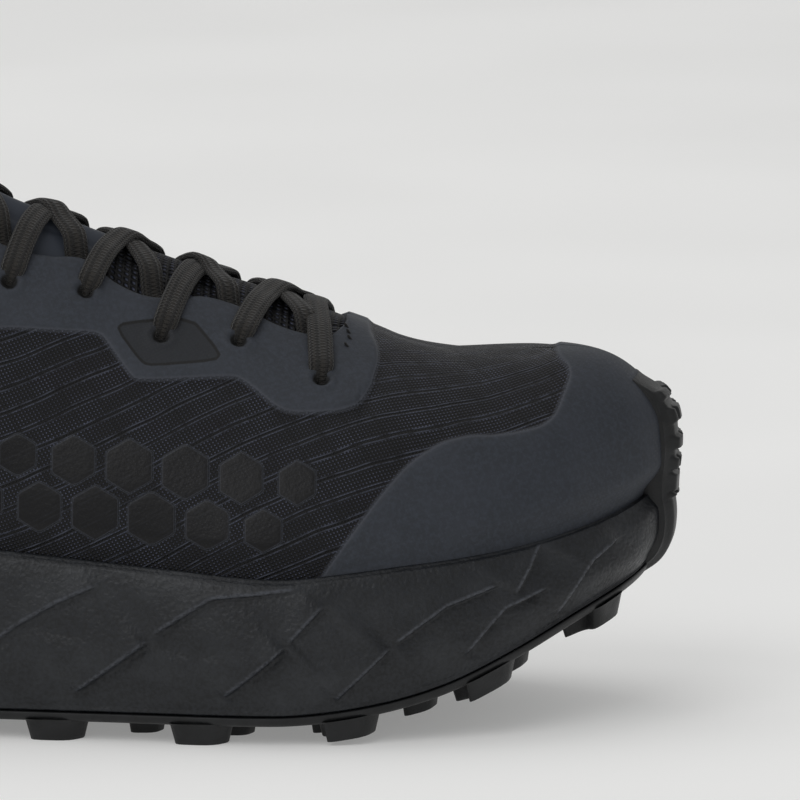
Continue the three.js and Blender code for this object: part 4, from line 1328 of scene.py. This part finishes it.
def lace_path(start_loop, start_share, end_loop, end_share, over, dives):
    """Middle line and outward directions of one run from an eyelet across the tongue."""
    points = []
    normals = []
    start_step = float(step_of(np.array(start_loop)))
    end_step = float(step_of(np.array(end_loop)))
    start_side = -1 if start_loop < 1 else 1
    for t in np.linspace(0, 1, LACE_POINTS):
        across = (1 - 2 * t) * start_side
        step = mix(start_step, end_step, t)
        loop = np.array(step if across < 0 else 2 - step)
        near = start_share if t < 0.5 else end_share
        share = mix(NEAR_RIDGE, near, abs(across))
        here, normal = surface_frame(loop, np.array(share))
        if abs(across) < RIDGE_ZONE:
            beside = np.array(mix(NEAR_RIDGE, near, RIDGE_ZONE))
            _, left_out = surface_frame(np.array(step), beside)
            _, right_out = surface_frame(np.array(2 - step), beside)
            normal = mix(left_out, right_out, (across / RIDGE_ZONE + 1) / 2)
            normal /= np.linalg.norm(normal)
        lift = mix(LACE_ON_TONGUE, LACE_ON_EDGE, float(smooth(abs(across), 0.3, 0.62)))
        lift += over * math.exp(-(across / 0.2) ** 2)
        lift -= EYELET_DIVE * (1 - float(smooth(t, 0.0, 0.05)))
        if dives:
            lift -= EDGE_DIVE * float(smooth(t, 0.8, 0.93))
        else:
            lift -= EYELET_DIVE * float(smooth(t, 0.915, 1.0))
        points.append(here + normal * lift)
        normals.append(normal)
    return np.array(points), np.array(normals)


def sweep_ribbon(points, normals, width, thickness, lean, first):
    """A flat, round-edged band along a path; returns its points, faces and coordinates in mm."""
    tangent = np.gradient(points, axis=0)
    tangent /= np.linalg.norm(tangent, axis=1, keepdims=True)
    across = np.cross(tangent, normals)
    across /= np.linalg.norm(across, axis=1, keepdims=True)
    out = np.cross(across, tangent)
    length = np.concatenate([[0], np.cumsum(np.linalg.norm(np.diff(points, axis=0), axis=1))])
    turns = np.linspace(0, 2 * math.pi, LACE_RING, endpoint=False)
    wide = np.sign(np.cos(turns)) * np.abs(np.cos(turns)) ** 0.7 * width / 2
    high = np.sign(np.sin(turns)) * np.abs(np.sin(turns)) ** 0.8 * thickness / 2
    ends = np.minimum(length, length[-1] - length)
    pinch = mix(0.62, 1.0, smooth(ends, 0.0, 5.0))
    ring = points[:, None] + across[:, None] * (wide[None, :, None] * pinch[:, None, None])
    ring += out[:, None] * (high[None, :, None] / np.sqrt(pinch)[:, None, None])
    ring += out[:, None] * (lean * wide[None, :, None] * pinch[:, None, None])
    flat = np.empty((len(points), LACE_RING, 2))
    flat[..., 0] = length[:, None]
    there_and_back = np.where(np.arange(LACE_RING) <= LACE_RING // 2, turns, 2 * math.pi - turns)
    flat[..., 1] = there_and_back * width / math.pi
    return ring.reshape(-1, 3), tube_faces(first, len(points), LACE_RING), flat.reshape(-1, 2)


def build_lace(sizes, colours):
    """Front bar, and from each eyelet a run that crosses to the next row's far edge."""
    rows = []
    for row, setback in enumerate(EYELET_SETBACKS):
        step = eyelet_step(row)
        edges = [float(throat_end(np.array(loop))) for loop in (step, 2 - step)]
        rows.append((step, [edge - setback for edge in edges], [edge - 0.02 for edge in edges]))
    shuffle = random.Random(5)
    runs = []
    step, holes, _ = rows[0]
    runs.append((step, holes[0], 2 - step, holes[1], 0.0, False))
    for row in range(1, len(rows)):
        step, holes, _ = rows[row]
        ahead, _, edges = rows[row - 1]
        over = 1 if row % 2 else -1
        runs.append((step, holes[0], 2 - ahead, edges[1], over, True))
        runs.append((2 - step, holes[1], ahead, edges[0], -over, True))
    points = []
    faces = []
    flat = []
    first = 0
    for run in runs:
        path, normals = lace_path(*run)
        lean = shuffle.uniform(-0.12, 0.12)
        width = sizes.lace_width * shuffle.uniform(0.96, 1.04)
        ring, band, place = sweep_ribbon(path, normals, width, sizes.lace_thickness, lean, first)
        points.append(ring)
        faces += band
        flat.append(place)
        first += len(ring)
    material = braided_cord(colours)
    points = np.concatenate(points)
    return make_piece("lace_runs", points, faces, material, ("lace",), np.concatenate(flat))


# A short curved row of stitches at the front of each eyestay, in the side view in mm
STITCH_ROW = [(64.2, 98.8), (64.8, 97.7), (65.1, 96.6), (64.4, 95.2)]


# Places along a stitch, as shares of its length, with its thickness there
STITCH_RINGS = [(0.0, 0.35), (0.12, 0.85), (0.3, 1.0), (0.7, 1.0), (0.88, 0.85), (1.0, 0.35)]
STITCH_AROUND = 8
STITCH_RADIUS = 0.36
STITCH_LIFT = 1.3
STITCH_HALF = np.array([0.5, 0, -0.75])


def capsule(start, end, first):
    """A short thread between two points, with rounded ends."""
    axis = end - start
    length = np.linalg.norm(axis)
    axis = axis / length
    side = np.cross(axis, [0.3, 0.9, 0.2])
    side /= np.linalg.norm(side)
    other = np.cross(axis, side)
    turns = np.linspace(0, 2 * math.pi, STITCH_AROUND, endpoint=False)
    circle = np.cos(turns)[:, None] * side + np.sin(turns)[:, None] * other
    points = []
    for place, wide in STITCH_RINGS:
        points.append(start + axis * length * place + circle * STITCH_RADIUS * wide)
    return np.concatenate(points), tube_faces(first, len(STITCH_RINGS), STITCH_AROUND)


def surface_at(x, z, outer):
    """Point and outward normal of the upper at a place in the side view."""

    def point(step, share):
        return rib_point(np.array(step if outer else 2 - step), np.array(share))

    share = 0.5
    for _ in range(14):
        step = sum(halve(0.3, 0.99, 24, lambda middle: point(middle, share)[0] < x)) / 2
        share = sum(halve(0.02, 0.999, 24, lambda middle: point(step, middle)[2] < z)) / 2
    return surface_frame(np.array(step if outer else 2 - step), np.array(share))


def build_stitches(colours):
    """One short curved row of stitches on each side."""
    points = []
    faces = []
    first = 0
    for outer in (True, False):
        # The inner row starts lower, so that it doesn't stand up behind the ridge.
        for x, z in STITCH_ROW if outer else STITCH_ROW[2:]:
            here, normal = surface_at(x, z, outer)
            middle = here + normal * STITCH_LIFT
            stitch, band = capsule(middle - STITCH_HALF, middle + STITCH_HALF, first)
            points.append(stitch)
            faces += band
            first += len(stitch)
    return make_piece("bartack_stitches", np.concatenate(points), faces, braided_cord(colours))


# The stage: a paper sweep, soft lamps and the camera
CAMERA_TARGET = (0.0763, -0.05, 0.0878)
CAMERA_DISTANCE = 2.2
CAMERA_ELEVATION = 9.1
CAMERA_LENS = 398
SWEEP_BACK = 4.3
SWEEP_FRONT = -3.2
SWEEP_HEIGHT = 2.4
SWEEP_RADIUS = 1.3
SWEEP_HALF_WIDTH = 3.6
BEND_STEPS = 24


def build_sweep(sizes, colours):
    """Floor and back in one sheet with a wide bend between them."""
    outline = [(SWEEP_FRONT, 0.0), (SWEEP_BACK - SWEEP_RADIUS, 0.0)]
    for k in range(1, BEND_STEPS + 1):
        angle = k / BEND_STEPS * math.pi / 2
        y = SWEEP_BACK - SWEEP_RADIUS + SWEEP_RADIUS * math.sin(angle)
        outline.append((y, SWEEP_RADIUS * (1 - math.cos(angle))))
    outline.append((SWEEP_BACK, SWEEP_HEIGHT))
    points = []
    for y, z in outline:
        points.append((-SWEEP_HALF_WIDTH, y, z))
        points.append((SWEEP_HALF_WIDTH, y, z))
    faces = [[2 * k, 2 * k + 1, 2 * k + 3, 2 * k + 2] for k in range(len(outline) - 1)]
    mesh = bpy.data.meshes.new("paper_sweep")
    mesh.from_pydata(points, [], faces)
    mesh.shade_smooth()
    mesh.materials.append(studio_paper(sizes, colours))
    sweep = add_object("paper_sweep", mesh)


def add_lamp(name, place, target, size, watts):
    light = bpy.data.lights.new(name, "AREA")
    light.shape = "RECTANGLE"
    light.size, light.size_y = size
    light.energy = watts
    lamp = add_object(name, light)
    lamp.location = place
    lamp.rotation_euler = (Vector(target) - Vector(place)).to_track_quat("-Z", "Y").to_euler()


def build_stage(sizes, colours):
    """Sweep, three lamps, soft light from all round and the camera."""
    build_sweep(sizes, colours)
    middle = (0.03, 0.0, 0.06)
    add_lamp("overhead_softbox", (-0.45, 0.3, 1.7), middle, (1.6, 1.2), sizes.overhead_watts)
    add_lamp("key_softbox", (-0.75, -1.35, 1.35), middle, (1.4, 1.2), sizes.key_watts)
    add_lamp("backdrop_lamp", (0.0, 1.8, 2.6), (0.0, 4.2, 0.9), (3.6, 0.6), sizes.backdrop_watts)
    world = bpy.data.worlds.new("studio_air")
    world.use_nodes = True
    background = world.node_tree.nodes["Background"]
    background.inputs["Color"].default_value = linear(colours.air)
    background.inputs["Strength"].default_value = sizes.air_strength
    bpy.context.scene.world = world
    bpy.context.scene.view_settings.view_transform = "Standard"
    camera = bpy.data.cameras.new("camera")
    camera.lens = CAMERA_LENS
    camera.sensor_width = 36
    camera.clip_end = 30
    holder = add_object("camera", camera)
    rise = math.radians(CAMERA_ELEVATION)
    back = Vector((0, -math.cos(rise), math.sin(rise)))
    holder.location = Vector(CAMERA_TARGET) + back * CAMERA_DISTANCE
    holder.rotation_euler = (-back).to_track_quat("-Z", "Y").to_euler()
    bpy.context.scene.camera = holder


# Sizes and colours that a user may change
def size_property(name, about, default, low, high):
    return bpy.props.FloatProperty(name=name, description=about, default=default, min=low, max=high)


class ShoeSizes(bpy.types.PropertyGroup):
    film_rise: size_property("Film rise", "Height of the welded film over the cloth, mm", 0.8, 0.2, 2)
    cord_pitch: size_property("Cord pitch", "Distance between the ripstop's long cords, mm", 5.0, 2, 12)
    cord_turn: size_property("Cord turn", "Rise of the cords towards the toe, degrees", 36, 0, 80)
    thread_pitch: size_property("Thread pitch", "Distance between drawn threads, mm", 1.05, 0.5, 3)
    mesh_pitch: size_property("Mesh pitch", "Distance between the tongue's stitches, mm", 1.8, 1, 4)
    foam_depth: size_property("Foam relief", "Depth of the foam's steps, 1 as moulded", 1.45, 0, 2)
    tooth_rise: size_property("Tooth rise", "Height of the teeth on the toe guard, mm", 1.3, 0, 3)
    tongue_fill: size_property("Tongue fill", "Rise of the tongue between the eyestays, mm", 2.4, 0, 6)
    tongue_crown: size_property("Tongue crown", "Swelling of the tongue's channels, mm", 1.2, 0, 3)
    lace_width: size_property("Lace width", "Width of the flat lace, mm", 6.4, 3, 9)
    lace_thickness: size_property("Lace thickness", "Thickness of the flat lace, mm", 2.0, 1, 4)
    overhead_watts: size_property("Overhead power", "Power of the lamp above, W", 6, 0, 500)
    key_watts: size_property("Key power", "Power of the lamp in front on the left, W", 10, 0, 500)
    backdrop_glow: size_property("Backdrop glow", "Backdrop's own light, as a share of white", 0.31, 0, 1)
    backdrop_watts: size_property("Backdrop power", "Power of the lamp on the backdrop, W", 10, 0, 500)
    air_strength: size_property("Air light", "Strength of the light from all round", 0.42, 0, 3)


def colour_property(name, about, default):
    return bpy.props.StringProperty(name=name, description=about, default=default, maxlen=7)


class ShoeColours(bpy.types.PropertyGroup):
    cloth_shade: colour_property("Cloth", "Ground of the ripstop, sRGB", "#08080a")
    # Painted highlight: the glints on the ripstop's thread crossings.
    cloth_glint: colour_property("Cloth glint", "Thread crossings of the ripstop, sRGB", "#4a4e60")
    # Painted highlight on the lit side of the ripstop's cords.
    cord_highlight: colour_property("Cord", "Lit side of the ripstop's cords, sRGB", "#565b6b")
    # Painted shade on the dark side of the ripstop's cords; also the dark outline of the debossed panel.
    groove: colour_property("Groove", "Dark side of the cords, and the panel's outline, sRGB", "#040405")
    # Painted shade inside the eyelets.
    hole: colour_property("Hole", "Inside of an eyelet, sRGB", "#020202")
    film: colour_property("Film", "Welded film, sRGB", "#2f343d")
    film_shade: colour_property("Film shade", "Darker spots of the film, sRGB", "#262a31")
    film_worn: colour_property("Film dust", "Powdery bloom on the film, sRGB", "#343841")
    # Painted highlight along the film's edges and the cells' rims.
    film_edge_highlight: colour_property("Film edge", "Cut edge of the film, sRGB", "#43464e")
    panel: colour_property("Panel", "Debossed panel, sRGB", "#17191d")
    gloss_film: colour_property("Gloss film", "Glossy cells of the side, sRGB", "#050507")
    foam: colour_property("Foam", "Foam, sRGB", "#181b20")
    foam_shade: colour_property("Foam shade", "Foam in its pores, sRGB", "#0e1013")
    foam_worn: colour_property("Foam scuffs", "Paler scuffed foam, sRGB", "#34373b")
    # Painted highlight along the edges of the foam's steps.
    foam_edge_highlight: colour_property("Foam edges", "Rubbed edges of the foam's steps, sRGB", "#44474e")
    rubber: colour_property("Rubber", "Outsole rubber, sRGB", "#1b1c1e")
    rubber_shade: colour_property("Rubber shade", "Darker rubber, sRGB", "#121314")
    tongue_shade: colour_property("Tongue", "Holes of the tongue's mesh, sRGB", "#050507")
    # Painted highlight: the glints on the tongue's stitches.
    tongue_glint: colour_property("Tongue glint", "Stitches of the tongue's mesh, sRGB", "#444859")
    lining: colour_property("Lining", "Lining, sRGB", "#1c1d20")
    lining_shade: colour_property("Lining shade", "Lining in its valleys, sRGB", "#0e0f11")
    lace: colour_property("Lace", "Lace yarn, sRGB", "#23201c")
    lace_shade: colour_property("Lace shade", "Lace between its yarns, sRGB", "#0a0908")
    paper: colour_property("Paper", "Backdrop paper, sRGB", "#e4e4e3")
    paper_shade: colour_property("Paper shade", "Clouds in the paper, sRGB", "#e1e1e0")
    air: colour_property("Air", "Light from all round, sRGB", "#ffffff")


class ShoeOperator(bpy.types.Operator):
    """Common part of the operators below."""

    bl_idname = "shoe.common"
    bl_label = "Common part"

    def groups(self, context):
        return context.scene.shoe_sizes, context.scene.shoe_colours


class MakeStage(ShoeOperator):
    """Paper sweep, lamps and camera"""

    bl_idname = "shoe.make_stage"
    bl_label = "Make the stage"

    def execute(self, context):
        build_stage(*self.groups(context))
        return {"FINISHED"}


class MakeFoam(ShoeOperator):
    """Sculpted foam midsole"""

    bl_idname = "shoe.make_foam"
    bl_label = "Make the midsole"

    def execute(self, context):
        build_foam(*self.groups(context))
        return {"FINISHED"}


class MakeOutsole(ShoeOperator):
    """Rubber plate, lugs and toe guard"""

    bl_idname = "shoe.make_outsole"
    bl_label = "Make the outsole"

    def execute(self, context):
        sizes, colours = self.groups(context)
        build_plate(colours)
        build_lugs(colours)
        build_guard(sizes, colours)
        return {"FINISHED"}


class MakeUpper(ShoeOperator):
    """Ripstop upper with its welded film, and its lining"""

    bl_idname = "shoe.make_upper"
    bl_label = "Make the upper"

    def execute(self, context):
        sizes, colours = self.groups(context)
        build_upper(sizes, colours)
        build_lining(colours)
        return {"FINISHED"}


class MakeTongue(ShoeOperator):
    """Padded tongue and the insole"""

    bl_idname = "shoe.make_tongue"
    bl_label = "Make the tongue and insole"

    def execute(self, context):
        sizes, colours = self.groups(context)
        build_tongue(sizes, colours)
        build_insole(colours)
        return {"FINISHED"}


class MakeLace(ShoeOperator):
    """Flat lace and the small stitches"""

    bl_idname = "shoe.make_lace"
    bl_label = "Make the lace"

    def execute(self, context):
        sizes, colours = self.groups(context)
        build_lace(sizes, colours)
        build_stitches(colours)
        return {"FINISHED"}


class ShoePanel(bpy.types.Panel):
    """Lists the operators that build the shoe"""

    bl_idname = "VIEW3D_PT_trail_shoe"
    bl_label = "Trail running shoe"
    bl_space_type = "VIEW_3D"
    bl_region_type = "UI"
    bl_category = "Shoe"

    def draw(self, context):
        for operator in OPERATORS:
            self.layout.operator(operator.bl_idname)


OPERATORS = [MakeStage, MakeFoam, MakeOutsole, MakeUpper, MakeTongue, MakeLace]
CLASSES = [ShoeSizes, ShoeColours, *OPERATORS, ShoePanel]


def register():
    for cls in CLASSES:
        bpy.utils.register_class(cls)
    bpy.types.Scene.shoe_sizes = bpy.props.PointerProperty(type=ShoeSizes)
    bpy.types.Scene.shoe_colours = bpy.props.PointerProperty(type=ShoeColours)


def unregister():
    del bpy.types.Scene.shoe_colours
    del bpy.types.Scene.shoe_sizes
    for cls in reversed(CLASSES):
        bpy.utils.unregister_class(cls)


def main():
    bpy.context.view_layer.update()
    register()
    bpy.ops.shoe.make_stage()
    bpy.ops.shoe.make_foam()
    bpy.ops.shoe.make_outsole()
    bpy.ops.shoe.make_upper()
    bpy.ops.shoe.make_tongue()
    bpy.ops.shoe.make_lace()


if __name__ == "__main__":
    main()
